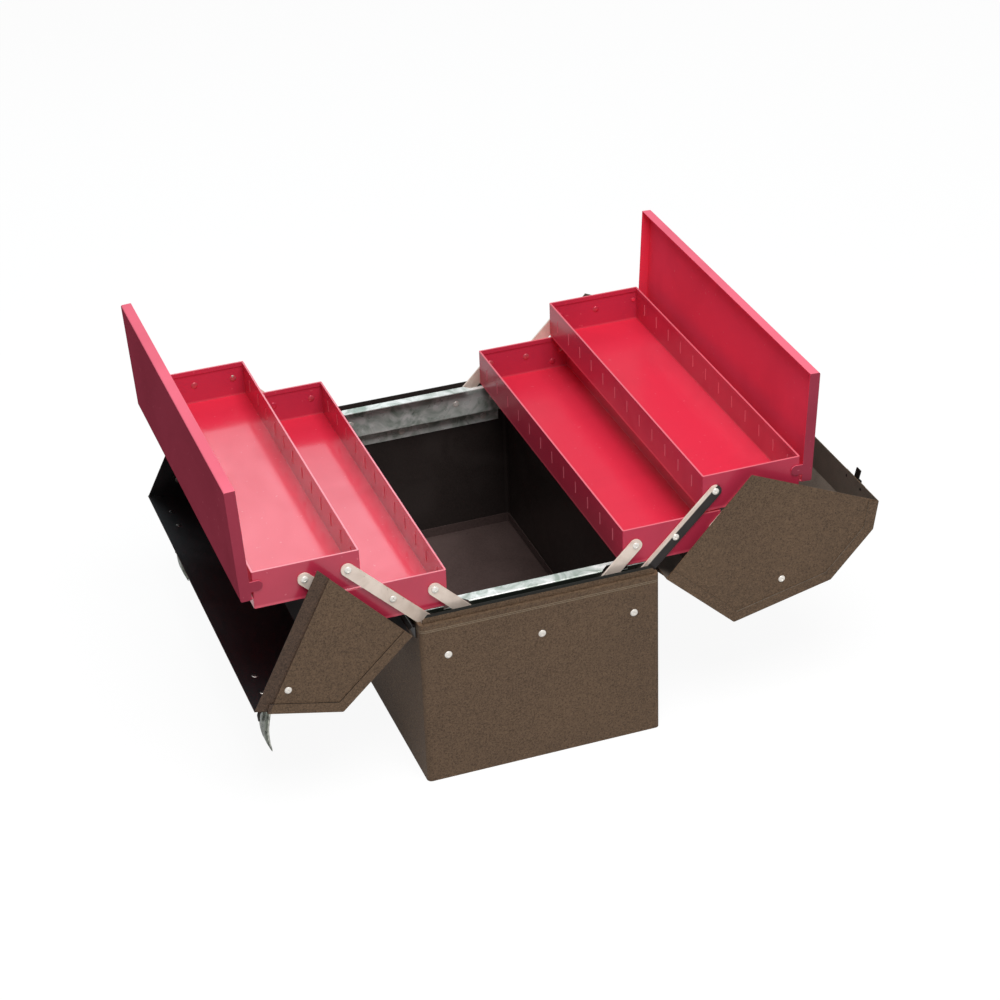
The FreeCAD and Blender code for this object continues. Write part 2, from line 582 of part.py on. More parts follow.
def tray_body(label, s, cover_hole):
    tray = new_body(label)

    def outline(inset):
        near, far = "%d * (%s)" % (s, inset), "%d * (tray_width - (%s))" % (s, inset)
        deep = "tray_half_l - (%s)" % inset
        return ("polygon", [(near, "-(%s)" % deep), (far, "-(%s)" % deep), (far, deep), (near, deep)])

    block = prism(tray, "block", "XY", "0", "tray_height", outline("0"))
    corners = [(x, y) for x in ("0", "%d * tray_width" % s) for y in ("tray_half_l", "-tray_half_l")]
    round_edges(tray, "corners", block, "tray_corner", "Z", corners)
    cut(tray, "mouth", "XY", "gauge", "tray_height", outline("2 * gauge"))
    cut(tray, "inside", "XY", "gauge", "tray_height - hem_height", outline("gauge"))
    first = "-tray_half_l + slot_margin"
    slot = [(first, "gauge + slot_up"), (first + " + slot_width", "gauge + slot_up"),
            (first + " + slot_width", "gauge + slot_up + slot_height"),
            (first, "gauge + slot_up + slot_height")]
    low = "-gauge" if s > 0 else "-tray_width - gauge"
    high = "tray_width + gauge" if s > 0 else "gauge"
    slots = cut(tray, "divider_slot", "YZ", low, high, ("polygon", slot))
    repeat(tray, "divider_slots", [slots], "2 * (tray_half_l - slot_margin) - slot_width", "slot_count")
    if cover_hole:
        cut(tray, "cover_holes", "XZ", "-half_l", "half_l",
            ("circle", "%d * (tray_width - cover_pivot_in)" % s, "tray_height - cover_pivot_down",
             "cover_pin + running_fit"))
    return tray


LOWER_PIVOTS = [("tray_pivot_x + %d * arm_step" % k, "tray_pivot_up") for k in (-1, 0, 1)]
STRAP_SPOT = ("tray_width - strap_tray_in", "strap_tray_up")
UPPER_PIVOTS = [("upper_pivot_x + %d * arm_step" % k, "tray_pivot_up") for k in (0, 1)]
for side, s in SIDES.items():
    place(tray_body("tray_lower_" + side, s, False), "%d * lower_x" % s, "0", "lower_z")
    place(tray_body("tray_upper_" + side, s, True), "%d * upper_x" % s, "0", "upper_z")
    spots = [("%d * (%s)" % (s, x), z) for x, z in LOWER_PIVOTS + [STRAP_SPOT]]
    group = rivet_group("lower_tray_rivets_" + side, spots[:3], "stud_radius", "head_radius",
                        "head_radius", HEAD_LAYERS)
    for end in ENDS:
        for name, radius, near, far in (
                ("standoff", "head_radius", "arm_front - head_gap - head_height", "web_offset"),
                ("standoff_shank", "stud_radius", "arm_front", "web_offset + gauge + tail_height"),
                ("standoff_tail", "head_radius", "web_offset + gauge", "web_offset + gauge + tail_height")):
            low, high = end_layer(end, near, far)
            prism(group, "%s_%s" % (name, end), "XZ", low, high,
                  ("octagon", spots[3][0], spots[3][1], radius))
    place(group, "%d * lower_x" % s, "0", "lower_z")
    spots = [("%d * (%s)" % (s, x), z) for x, z in UPPER_PIVOTS]
    group = rivet_group("upper_tray_rivets_" + side, spots, "stud_radius", "head_radius",
                        "head_radius", HEAD_LAYERS)
    place(group, "%d * upper_x" % s, "0", "upper_z")

# Covers: shallow pans hinged on the ends of the upper trays


def cover_body(label, s):
    cover = new_body(label)

    def box(x0, x1, z0, z1):
        left, right = "%d * (%s)" % (s, x0), "%d * (%s)" % (s, x1)
        return ("polygon", [(left, z0), (right, z0), (right, z1), (left, z1)])

    outer = "cover_end + gauge"
    plate = prism(cover, "plate", "XZ", "-(%s)" % outer, outer,
                  box("-cover_free", "cover_back", "cover_rise - gauge", "cover_rise"))
    prism(cover, "free_flange", "XZ", "-(%s)" % outer, outer,
          box("-cover_free", "gauge - cover_free", "cover_rise - cover_depth", "cover_rise"))
    prism(cover, "hinge_flange", "XZ", "-cover_end", "cover_end",
          box("cover_back - gauge", "cover_back", "cover_rise - cover_deep", "cover_rise"))
    for end in ENDS:
        low, high = end_layer(end, "half_l - cover_end - gauge", "half_l - cover_end")
        prism(cover, "end_flange_" + end, "XZ", low, high,
              box("-cover_free", "cover_back", "cover_rise - cover_depth", "cover_rise"))
        prism(cover, "lug_stem_" + end, "XZ", low, high,
              box("-lug_radius", "lug_radius", "0", "cover_rise - cover_depth + gauge"))
        prism(cover, "lug_" + end, "XZ", low, high, ("circle", "0", "0", "lug_radius"))
        low, high = end_layer(end, "half_l - cover_end - gauge", "web_offset + 2 * gauge")
        prism(cover, "boss_" + end, "XZ", low, high, ("octagon", "0", "0", "cover_pin"))
    bends = [("%d * (-cover_free)" % s, "cover_rise"), ("%d * cover_back" % s, "cover_rise")]
    round_edges(cover, "bends", cover.Tip, "bend_radius - gauge / 2", "Y", bends)
    return cover


for side, s in SIDES.items():
    place(cover_body("cover_" + side, s), "%d * cover_px" % s, "0", "cover_pz", "%d * cover_open" % s)

# Lids, drawn closed and measured from the hinge pin, then swung open about it


def lid_xy(s, x, z):
    """x from the middle toward the lid's own side, as the closed lid stands."""
    return "%d * ((%s) - hinge_x)" % (s, x), "(%s) - hinge_z" % z


def slope_point(along, out):
    """On the closed slope: down from the upper edge of the left lid, and out of its face."""
    x = "slope_end_x + (%s) * cos(lid_slope) + (%s) * sin(lid_slope)" % (along, out)
    z = "slope_end_z - (%s) * sin(lid_slope) + (%s) * cos(lid_slope)" % (along, out)
    return x, z


def inset_line(d, count):
    """Points of the lid outline moved inward by d, from the foot of the wall upward."""
    points = [("half_w - (%s)" % d, "lid_foot"),
              ("half_w - (%s)" % d, "lid_bend_z - (%s) * fold" % d),
              ("flat_half - (%s) * ridge" % d, "lid_top - (%s)" % d),
              ("(%s) * ridge - flat_half" % d, "lid_top - (%s)" % d),
              ("(%s) * sin(lid_slope) - lip_end_x" % d, "lip_end_z - (%s) * cos(lid_slope)" % d)]
    return points[:count]


def on_seam(start, depth):
    """Where a line parallel to the left seam meets the slope moved inward by depth."""
    rise = "(lid_bend_z - (%s) / cos(lid_slope) + half_w * tan(lid_slope) - lid_foot)" % depth
    x = "((%s) + seam_lean * %s) / (1 + seam_lean * tan(lid_slope))" % (start, rise)
    z = "lid_bend_z - (%s) / cos(lid_slope) + (half_w - %s) * tan(lid_slope)" % (depth, x)
    return x, z


def lid_polygon(s, points):
    return ("polygon", [lid_xy(s, x, z) for x, z in points])


def lid_outline(side, d):
    if side == "right":
        return inset_line(d, 5)
    return inset_line(d, 2) + [slope_point("joggle_width", "-(%s)" % d)]


LATCH_SPOTS = [(k, m) for k in (-1, 1) for m in (-1, 1)]


def slope_sketch(body, name, s, out, shapes):
    """A sketch on the left slope of the closed box, seen from a lid's hinge pin."""
    x, z = slope_point("0", out)
    sketch = new_sketch(body, name, "XY_Plane", "0")
    turn = FreeCAD.Rotation(FreeCAD.Vector(0, 1, 0), -value("lid_slope"))
    sketch.AttachmentOffset = FreeCAD.Placement(FreeCAD.Vector(0, 0, 0), turn)
    across, up = ("-(%s) - %d * hinge_x" % (x, s), "(%s) - hinge_z" % z)
    sketch.setExpression("AttachmentOffset.Rotation.Angle", bound("-lid_slope * 1 deg"))
    sketch.setExpression("AttachmentOffset.Base.x", bound(across))
    sketch.setExpression("AttachmentOffset.Base.z", bound(up))
    draw(sketch, shapes)
    return sketch


def slope_pad(body, name, s, low, high, *shapes):
    pad = body.newObject("PartDesign::Pad", name)
    pad.Profile = slope_sketch(body, name + "_outline", s, low, shapes)
    pad.setExpression("Length", bound("(%s) - (%s)" % (high, low)))


def latch_studs(along, radius):
    return [("octagon", "-(%s)" % along, "%d * latch_y + %d * latch_rivet_half" % (k, m), radius)
            for k, m in LATCH_SPOTS]


KEEPER_S = "lip_overlap - keeper_rivet_s + gauge"
for side, s in SIDES.items():
    swing = "%d * lid_open" % s
    shell = new_body("lid_shell_" + side)
    outer = lid_outline(side, "0")
    inner = lid_outline(side, "gauge")
    skin = prism(shell, "skin", "XZ", "-half_l", "half_l",
                 lid_polygon(s, outer + inner[::-1]))
    for end in ENDS:
        low, high = end_layer(end, "0", "gauge")
        prism(shell, "band_" + end, "XZ", low, high,
              lid_polygon(s, outer + lid_outline(side, "band_width")[::-1]))
    bends = len(outer) - 1
    round_edges(shell, "outer_bends", shell.Tip, "bend_radius", "Y",
                [lid_xy(s, *spot) for spot in outer[1:bends]])
    round_edges(shell, "inner_bends", shell.Tip, "bend_radius - gauge", "Y",
                [lid_xy(s, *spot) for spot in inner[1:bends]])
    if side == "left":
        tongue = [slope_point("0", "-joggle_depth"), slope_point("joggle_width + gauge", "-joggle_depth"),
                  slope_point("joggle_width + gauge", "-joggle_depth - gauge"),
                  slope_point("0", "-joggle_depth - gauge")]
        riser = [slope_point("joggle_width", "-gauge / 2"), slope_point("joggle_width + gauge", "-gauge / 2"),
                 slope_point("joggle_width + gauge", "-joggle_depth - gauge / 2"),
                 slope_point("joggle_width", "-joggle_depth - gauge / 2")]
        for name, points in (("riser", riser), ("sunk_edge", tongue)):
            prism(shell, name, "XZ", "strip_layer - half_l", "half_l - strip_layer", lid_polygon(s, points))
    place(shell, "%d * hinge_x" % s, "0", "hinge_z", swing)

    gap = "gauge + seat_gap"
    for end in ENDS:
        panel = new_body("lid_end_%s_%s" % (side, end))
        low, high = end_layer(end, "gauge", "2 * gauge")
        if side == "right":
            face = inset_line(gap, 5) + [("-right_foot_x", "lid_foot")]
        else:
            face = inset_line(gap, 2) + [on_seam("strip_run - left_foot_x", gap),
                                         ("strip_run - left_foot_x", "lid_foot")]
        prism(panel, "face", "XZ", low, high, lid_polygon(s, face))
        if side == "left":
            under = "joggle_depth + gauge + seat_gap"
            start = "strip_run - left_foot_x"
            strip = [("-left_foot_x", "lid_foot"), (start + " + gauge", "lid_foot"),
                     on_seam(start + " + gauge", under), on_seam("-left_foot_x", under)]
            step = [(start, "lid_foot"), (start + " + gauge", "lid_foot"),
                    on_seam(start + " + gauge", under), on_seam(start, under)]
            low, high = end_layer(end, "gauge", "strip_layer + gauge")
            prism(panel, "step", "XZ", low, high, lid_polygon(s, step))
            low, high = end_layer(end, "strip_layer", "strip_layer + gauge")
            prism(panel, "strip", "XZ", low, high, lid_polygon(s, strip))
        place(panel, "%d * hinge_x" % s, "0", "hinge_z", swing)

    spot = [("%d * strap_u" % s, "strap_lid_rise")]
    layers = ("gauge - head_height", "gauge", "strap_back + head_gap", "strap_back + head_gap + tail_height")
    spacer = [("spacer", spot[0][0], spot[0][1], "head_radius", "2 * gauge", "strap_front - layer_gap")]
    group = rivet_group("strap_rivets_" + side, spot, "stud_radius", "head_radius", "head_radius",
                        layers, spacer)
    place(group, "%d * hinge_x" % s, "0", "hinge_z", swing)

    layers = ("strap_front - tail_height", "strap_front", "strap_back",
              "arm_front - head_gap - head_height - layer_gap")
    group = rivet_group("strap_pins_" + side, [("0", "strap_length")], "stud_radius", "head_radius",
                        "head_radius", layers)
    place(group, "%d * strap_lid_px" % s, "0", "strap_lid_pz", "%d * atan2(strap_dx; strap_dz)" % s)

# Hinges: two leaves and a pin along each side


def hinge_leaf(label, s, up, knuckles):
    """The leaf lies outside the wall; the pin is tight in the lower leaf and turns in the upper."""
    leaf = new_body(label)
    near = "leaf_gap - hinge_out"
    far = "leaf_gap + leaf_gauge - hinge_out"
    clear = "knuckle_radius + layer_gap"

    def strip(z0, z1):
        points = [(near, z0), (far, z0), (far, z1), (near, z1)]
        return ("polygon", [("%d * (%s)" % (s, x), "%d * (%s)" % (up, z)) for x, z in points])

    prism(leaf, "plate", "XZ", "-hinge_run / 2", "hinge_run / 2", strip(clear, "leaf_reach"))
    for k in knuckles:
        low = "-hinge_run / 2 + %d * knuckle_length" % k
        high = low + " + knuckle_length - knuckle_gap"
        prism(leaf, "tab_%d" % k, "XZ", low, high, strip("0", clear + " + gauge"))
        prism(leaf, "knuckle_%d" % k, "XZ", low, high, ("circle", "0", "0", "knuckle_radius"))
    if up > 0:
        cut(leaf, "bore", "XZ", "-hinge_run / 2 - gauge", "hinge_run / 2 + gauge",
            ("circle", "0", "0", "pin_radius + running_fit"))
    return leaf


for side, s in SIDES.items():
    place(hinge_leaf("hinge_base_leaf_" + side, s, -1, (0, 2)), "%d * hinge_x" % s, "0", "hinge_z")
    place(hinge_leaf("hinge_lid_leaf_" + side, s, 1, (1,)), "%d * hinge_x" % s, "0", "hinge_z",
          "%d * lid_open" % s)
pins = new_body("hinge_pins")
prism(pins, "pins", "XZ", "-hinge_run / 2", "hinge_run / 2",
      *[("circle", "%d * hinge_x" % s, "hinge_z", "pin_radius") for s in (-1, 1)])
place(pins)

# Latches: a plate with ears and a hanging hasp on the left lid, a keeper on the lip


def slope_box(s0, s1, y0, y1):
    return ("polygon", [("-(%s)" % s1, y0), ("-(%s)" % s0, y0), ("-(%s)" % s0, y1), ("-(%s)" % s1, y1)])


def across(k, offset):
    return "%d * latch_y + (%s)" % (k, offset)


plates = new_body("latch_plates")
PLATE_TOP = "seat_gap + latch_gauge"
PIVOT = slope_point("latch_pivot_s", "latch_pivot_n")
LEFT_PIVOT = lid_xy(-1, *PIVOT)
for k in (-1, 1):
    name = "front" if k < 0 else "back"
    slope_pad(plates, "plate_" + name, -1, "seat_gap", PLATE_TOP,
              slope_box("latch_plate_top", "latch_plate_top + latch_plate_run",
                        across(k, "-latch_width / 2"), across(k, "latch_width / 2")))
    for m in (-1, 1):
        inner = "%d * (hasp_width / 2 + hasp_side_gap)" % m
        outer = "%d * (hasp_width / 2 + hasp_side_gap + latch_gauge)" % m
        first, last = (inner, outer) if m > 0 else (outer, inner)
        ear = [slope_point("latch_pivot_s - latch_ear", "seat_gap"),
               slope_point("latch_pivot_s + latch_ear", "seat_gap"),
               slope_point("latch_pivot_s + latch_ear", "latch_pivot_n"),
               slope_point("latch_pivot_s + latch_ear / 2", "latch_pivot_n + latch_ear * 0.8"),
               slope_point("latch_pivot_s - latch_ear / 2", "latch_pivot_n + latch_ear * 0.8"),
               slope_point("latch_pivot_s - latch_ear", "latch_pivot_n")]
        prism(plates, "ear_%s_%d" % (name, m + 2), "XZ", across(k, first), across(k, last),
              lid_polygon(-1, ear))
place(plates, "-hinge_x", "0", "hinge_z", "-lid_open")

latch_pins = new_body("latch_pins")
for k in (-1, 1):
    reach = "hasp_width / 2 + hasp_side_gap + 2 * latch_gauge"
    prism(latch_pins, "pin_%d" % (k + 2), "XZ", across(k, "-(%s)" % reach), across(k, reach),
          ("circle", LEFT_PIVOT[0], LEFT_PIVOT[1], "latch_pin"))
place(latch_pins, "-hinge_x", "0", "hinge_z", "-lid_open")

PIVOT_U, PIVOT_W = LEFT_PIVOT
HASP_X = "-hinge_x + (%s) * cos(lid_open) - (%s) * sin(lid_open)" % (PIVOT_U, PIVOT_W)
HASP_Z = "hinge_z + (%s) * sin(lid_open) + (%s) * cos(lid_open)" % (PIVOT_U, PIVOT_W)
for end in ENDS:
    k = -1 if end == "front" else 1
    hasp = new_body("hasp_" + end)
    half = "hasp_gauge / 2"
    low, high = across(k, "-hasp_width / 2"), across(k, "hasp_width / 2")
    strap = [("-(%s)" % half, "0"), ("-(%s)" % half, "2 * hasp_curl - hasp_length"),
             ("hasp_curl - %s" % half, "-hasp_length"), ("hasp_curl + %s" % half, "-hasp_length"),
             (half, "2 * hasp_curl - hasp_length"), (half, "0")]
    prism(hasp, "strap", "XZ", low, high, ("polygon", strap))
    prism(hasp, "barrel", "XZ", low, high, ("circle", "0", "0", "hasp_barrel"))
    hook = [("0", "-hasp_hook_at"), ("-hasp_hook_reach", "-hasp_hook_at - hasp_hook_drop"),
            ("-hasp_hook_reach", "-hasp_hook_at - hasp_hook_drop - hasp_gauge"),
            ("0", "-hasp_hook_at - 1.5 * hasp_gauge")]
    prism(hasp, "hook", "XZ", across(k, "-hasp_hook_width / 2"), across(k, "hasp_hook_width / 2"),
          ("polygon", hook))
    cut(hasp, "bore", "XZ", low + " - gauge", high + " + gauge",
        ("circle", "0", "0", "latch_pin + running_fit"))
    place(hasp, HASP_X, "0", HASP_Z, "0")

keepers = new_body("keepers")
LIP_EDGE = "lip_overlap"
for k in (-1, 1):
    name = "front" if k < 0 else "back"
    slope_pad(keepers, "plate_" + name, 1, "seat_gap", PLATE_TOP,
              slope_box(LIP_EDGE + " - gauge - keeper_run", LIP_EDGE + " - gauge",
                        across(k, "-latch_width / 2"), across(k, "latch_width / 2")))
    post_s = "(lip_overlap - keeper_run / 2 - gauge)"
    hook = [slope_point(post_s + " - latch_gauge", "seat_gap"), slope_point(post_s, "seat_gap"),
            slope_point(post_s, "keeper_post - latch_gauge"),
            slope_point(post_s + " + 2 * latch_gauge", "keeper_post - latch_gauge"),
            slope_point(post_s + " + 2 * latch_gauge", "keeper_post"),
            slope_point(post_s + " - latch_gauge", "keeper_post")]
    tongue = [slope_point(post_s, PLATE_TOP + " - gauge / 2"),
              slope_point("lip_overlap + keeper_tongue", PLATE_TOP + " + gauge"),
              slope_point("lip_overlap + keeper_tongue", PLATE_TOP + " + gauge + latch_gauge"),
              slope_point(post_s, PLATE_TOP + " - gauge / 2 + latch_gauge")]
    for part, points in (("post", hook), ("tongue", tongue)):
        shifted = ("polygon", [("-(%s) - hinge_x" % x, "(%s) - hinge_z" % z) for x, z in points])
        prism(keepers, "%s_%s" % (part, name), "XZ", across(k, "-keeper_width / 2"),
              across(k, "keeper_width / 2"), shifted)
place(keepers, "hinge_x", "0", "hinge_z", "lid_open")

for label, s, along, closed in (("latch_rivets", -1, "latch_rivet_s", "tail_height"),
                                ("keeper_rivets", 1, KEEPER_S, "keeper_tail")):
    group = new_body(label)
    foot = "-gauge - " + closed
    for name, radius, low, high in (
            ("shank", "latch_shank", foot, PLATE_TOP + " + latch_head_height"),
            ("head", "latch_head", PLATE_TOP, PLATE_TOP + " + latch_head_height"),
            ("tail", "latch_head", foot, "-gauge")):
        slope_pad(group, name, s, low, high, *latch_studs(along, radius))
    place(group, "%d * hinge_x" % s, "0", "hinge_z", "%d * lid_open" % s)

# Handle: a folding bail in two riveted brackets on the flat of the right lid

TOP = "(lid_top - hinge_z)"
AXLE = TOP + " + handle_rise"
brackets = new_body("handle_brackets")
for k in (-1, 1):
    name = "front" if k < 0 else "back"
    low, high = "%d * handle_y - bracket_width / 2" % k, "%d * handle_y + bracket_width / 2" % k
    foot = [("-bracket_half - hinge_x", TOP + " + seat_gap"), ("bracket_half - hinge_x", TOP + " + seat_gap"),
            ("bracket_half - hinge_x", TOP + " + seat_gap + bracket_wall"),
            ("-bracket_half - hinge_x", TOP + " + seat_gap + bracket_wall")]
    prism(brackets, "foot_" + name, "XZ", low, high, ("polygon", foot))
    loop = "(handle_rod + running_fit + bracket_wall)"
    sides = [("-%s - hinge_x" % loop, TOP + " + seat_gap"), ("%s - hinge_x" % loop, TOP + " + seat_gap"),
             ("%s - hinge_x" % loop, AXLE), ("-%s - hinge_x" % loop, AXLE)]
    prism(brackets, "sides_" + name, "XZ", low, high, ("polygon", sides))
    prism(brackets, "loop_" + name, "XZ", low, high, ("circle", "-hinge_x", AXLE, loop))
cut(brackets, "bore", "XZ", "-half_l", "half_l",
    ("circle", "-hinge_x", AXLE, "handle_rod + running_fit"))
place(brackets, "hinge_x", "0", "hinge_z", "lid_open")

group = new_body("handle_rivets")
SPOTS = [("%d * bracket_rivet_x - hinge_x" % m, "%d * handle_y" % k) for k, m in LATCH_SPOTS]
FOOT_TOP = TOP + " + seat_gap + bracket_wall"
for name, radius, low, high in (
        ("shank", "latch_shank", TOP + " - gauge - tail_height", FOOT_TOP + " + latch_head_height"),
        ("head", "latch_head", FOOT_TOP, FOOT_TOP + " + latch_head_height"),
        ("tail", "latch_head", TOP + " - gauge - tail_height", TOP + " - gauge")):
    prism(group, name, "XY", low, high, *[("octagon", x, y, radius) for x, y in SPOTS])
place(group, "hinge_x", "0", "hinge_z", "lid_open")

bail = new_body("handle_bail")
END_Y = "(handle_y + bracket_width / 2 + bracket_gap)"
LEG_Y = "(handle_span / 2)"
path = bail.newObject("Sketcher::SketchObject", "bail_path")
path.AttachmentSupport = [([item for item in bail.Origin.OriginFeatures if item.Role == "XY_Plane"][0], "")]
path.MapMode = "FlatFace"
corners = [("0", "-" + END_Y), ("0", "-" + LEG_Y), ("handle_leg", "-" + LEG_Y),
           ("handle_leg", LEG_Y), ("0", LEG_Y), ("0", END_Y)]
points = [FreeCAD.Vector(value(x), value(y), 0) for x, y in corners]
path.addGeometry([Part.LineSegment(points[i], points[i + 1]) for i in range(5)])
for i in range(4):
    path.addConstraint(Sketcher.Constraint("Coincident", i, 2, i + 1, 1))
for i, (x, y) in enumerate(corners[:5]):
    fix(path, "DistanceX", -1, 1, i, 1, x)
    fix(path, "DistanceY", -1, 1, i, 1, y)
fix(path, "DistanceX", -1, 1, 4, 2, corners[5][0])
fix(path, "DistanceY", -1, 1, 4, 2, corners[5][1])
ring = new_sketch(bail, "bail_section", "XZ_Plane", END_Y)
add_octagon(ring, "0", "0", "handle_rod")
rod = bail.newObject("PartDesign::AdditivePipe", "bail")
rod.Profile = ring
rod.Spine = (path, ["Edge%d" % (i + 1) for i in range(5)])
rod.Transition = "Round corner"
AXLE_U, AXLE_W = "(-hinge_x)", "(%s)" % AXLE
place(bail, "hinge_x + %s * cos(lid_open) + %s * sin(lid_open)" % (AXLE_U, AXLE_W), "0",
      "hinge_z - %s * sin(lid_open) + %s * cos(lid_open)" % (AXLE_U, AXLE_W), "90")

# Checks, then one file per piece

doc.recompute()
for item in doc.Objects:
    if "Invalid" in item.State or "Error" in item.State:
        raise RuntimeError("%s did not build: %s" % (item.Label, item.State))
bodies = [item for item in doc.Objects if item.TypeId == "PartDesign::Body"]
for item in bodies:
    if item.Shape.isNull() or not item.Shape.isValid():
        raise RuntimeError("%s has no sound shape" % item.Label)
os.makedirs("parts", exist_ok=True)
for item in bodies:
    item.Shape.exportStep(os.path.join("parts", item.Label + ".step"))
print("pieces written:", len(bodies))
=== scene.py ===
# %% [markdown]
# # Cantilever tool box
# A steel tool box stands open on a pale floor. Its trays have swung out on flat arms, and its two
# roof lids hang at the sides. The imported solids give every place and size. This lesson gives them
# paint, zinc and nickel, and adds the small fasteners and formed edges that catch the light.

# %% Load the solids as a fixed frame
import math

import bpy
from mathutils import Matrix, Vector


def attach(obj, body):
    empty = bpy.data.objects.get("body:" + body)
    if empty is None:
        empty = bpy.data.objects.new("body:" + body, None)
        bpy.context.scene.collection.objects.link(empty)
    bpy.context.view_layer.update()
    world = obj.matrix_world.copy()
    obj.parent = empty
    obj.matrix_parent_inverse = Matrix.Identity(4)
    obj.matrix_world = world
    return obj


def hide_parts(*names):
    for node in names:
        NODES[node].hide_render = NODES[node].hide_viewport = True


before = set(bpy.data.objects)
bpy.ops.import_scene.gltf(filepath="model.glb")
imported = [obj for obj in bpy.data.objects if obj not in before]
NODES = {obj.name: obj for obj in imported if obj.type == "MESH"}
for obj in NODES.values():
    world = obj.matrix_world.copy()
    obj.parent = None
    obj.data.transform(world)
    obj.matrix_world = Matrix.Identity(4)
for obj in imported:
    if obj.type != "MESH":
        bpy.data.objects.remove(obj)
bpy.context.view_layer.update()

MM = 0.001
SIDES = (1, "right"), (-1, "left")

# %% [markdown]
# The photograph is taken from the front left and above, with a long lens. The camera's place was
# worked out from the corners of the base, so the same corners fall on the same points of the frame.

# %% Camera
CAMERA_PLACE = (-0.73098, -2.26583, 1.56472)
CAMERA_TURN = (59.7576, 1.8746, -19.8485)
SENSOR_WIDTH, LENS, FAR_END = 36, 93.153, 50
camera_data = bpy.data.cameras.new("camera")
camera_data.sensor_width = SENSOR_WIDTH
camera_data.lens = LENS
camera_data.clip_end = FAR_END
camera = bpy.data.objects.new("camera", camera_data)
bpy.context.scene.collection.objects.link(camera)
camera.location = CAMERA_PLACE
camera.rotation_euler = [math.radians(turn) for turn in CAMERA_TURN]
bpy.context.scene.camera = camera
bpy.context.scene.view_settings.view_transform = "Standard"
print("camera at", CAMERA_PLACE)

# %% [markdown]
# Helpers for the shader trees. Each material is a handful of nodes, and the effects that several
# materials share are node groups with named sockets.

# %% Helpers for node trees


def add_node(tree, kind, at, **values):
    node = tree.nodes.new(kind)
    node.location = at
    for name, content in values.items():
        setattr(node, name, content)
    return node


def feed(tree, socket, content):
    """Join a socket to another one, or set it to a plain value."""
    if isinstance(content, bpy.types.NodeSocket):
        tree.links.new(content, socket)
    else:
        socket.default_value = content


def new_group(name, inputs, outputs):
    """An empty shader group; inputs give (name, socket kind, default)."""
    group = bpy.data.node_groups.new(name, "ShaderNodeTree")
    for label, kind, default in inputs:
        socket = group.interface.new_socket(label, in_out="INPUT", socket_type=kind)
        if default is not None:
            socket.default_value = default
    for label in outputs:
        group.interface.new_socket(label, in_out="OUTPUT", socket_type="NodeSocketFloat")
    start = add_node(group, "NodeGroupInput", (-900, 0))
    end = add_node(group, "NodeGroupOutput", (700, 0))
    return group, start, end


def place_group(tree, group, at, **values):
    node = add_node(tree, "ShaderNodeGroup", at, node_tree=group)
    for name, content in values.items():
        feed(tree, node.inputs[name.replace("_", " ")], content)
    return node


def mix_colours(tree, at, factor, first, second, blend="MIX"):
    """A colour mix; each input is a socket or a value."""
    node = add_node(tree, "ShaderNodeMix", at, data_type="RGBA", blend_type=blend)
    for index, content in ((0, factor), (6, first), (7, second)):
        feed(tree, node.inputs[index], content)
    return node.outputs[2]


def math_node(tree, at, operation, *numbers):
    node = add_node(tree, "ShaderNodeMath", at, operation=operation)
    for index, content in enumerate(numbers):
        feed(tree, node.inputs[index], content)
    return node.outputs[0]


def noise(tree, at, position, scale, detail=3, distortion=0.0):
    node = add_node(tree, "ShaderNodeTexNoise", at)
    feed(tree, node.inputs["Vector"], position)
    feed(tree, node.inputs["Scale"], scale)
    node.inputs["Detail"].default_value = detail
    node.inputs["Distortion"].default_value = distortion
    return node.outputs["Fac"]


def stretch(tree, at, number, low, high):
    """Spread the range from low to high over 0 to 1."""
    node = add_node(tree, "ShaderNodeMapRange", at)
    feed(tree, node.inputs["Value"], number)
    feed(tree, node.inputs["From Min"], low)
    feed(tree, node.inputs["From Max"], high)
    return node.outputs["Result"]


def distance_along(tree, at, position, direction):
    node = add_node(tree, "ShaderNodeVectorMath", at, operation="DOT_PRODUCT")
    feed(tree, node.inputs[0], position)
    feed(tree, node.inputs[1], direction)
    return node.outputs["Value"]


def z_part(tree, at, vector):
    node = add_node(tree, "ShaderNodeSeparateXYZ", at)
    feed(tree, node.inputs[0], vector)
    return node.outputs["Z"]


def new_material(name, **shader_values):
    material = bpy.data.materials.new(name)
    material.use_nodes = True
    tree = material.node_tree
    tree.nodes.clear()
    out = add_node(tree, "ShaderNodeOutputMaterial", (1300, 0))
    shader = add_node(tree, "ShaderNodeBsdfPrincipled", (1000, 0))
    for label, content in shader_values.items():
        shader.inputs[label.replace("_", " ")].default_value = content
    tree.links.new(shader.outputs[0], out.inputs["Surface"])
    place = add_node(tree, "ShaderNodeTexCoord", (-1200, 0))
    return material, tree, shader, place


def add_bump(tree, shader, height, strength, distance):
    bump = add_node(tree, "ShaderNodeBump", (760, -300))
    bump.inputs["Strength"].default_value = strength
    bump.inputs["Distance"].default_value = distance
    tree.links.new(height, bump.inputs["Height"])
    tree.links.new(bump.outputs[0], shader.inputs["Normal"])


def colour(red, green, blue, gain=1.0):
    """A colour as read off a screen, 0 to 255, made linear for the shader."""
    linear = []
    for part in (red, green, blue):
        part /= 255
        linear.append(gain * (part / 12.92 if part <= 0.04045 else ((part + 0.055) / 1.055) ** 2.4))
    return (*linear, 1.0)


POINT = ("Position", "NodeSocketVector", None)
FACING = ("Normal", "NodeSocketVector", None)
print("helpers ready")

# %% [markdown]
# The brown paint on the outside is a wrinkle finish: a stiff paint that shrinks into a fine leathery
# grain as it bakes. Two noises at different sizes give the grain, as a height for the bump and as
# light and dark flecks. A third, slow noise gives the mottle of the whole sheet.

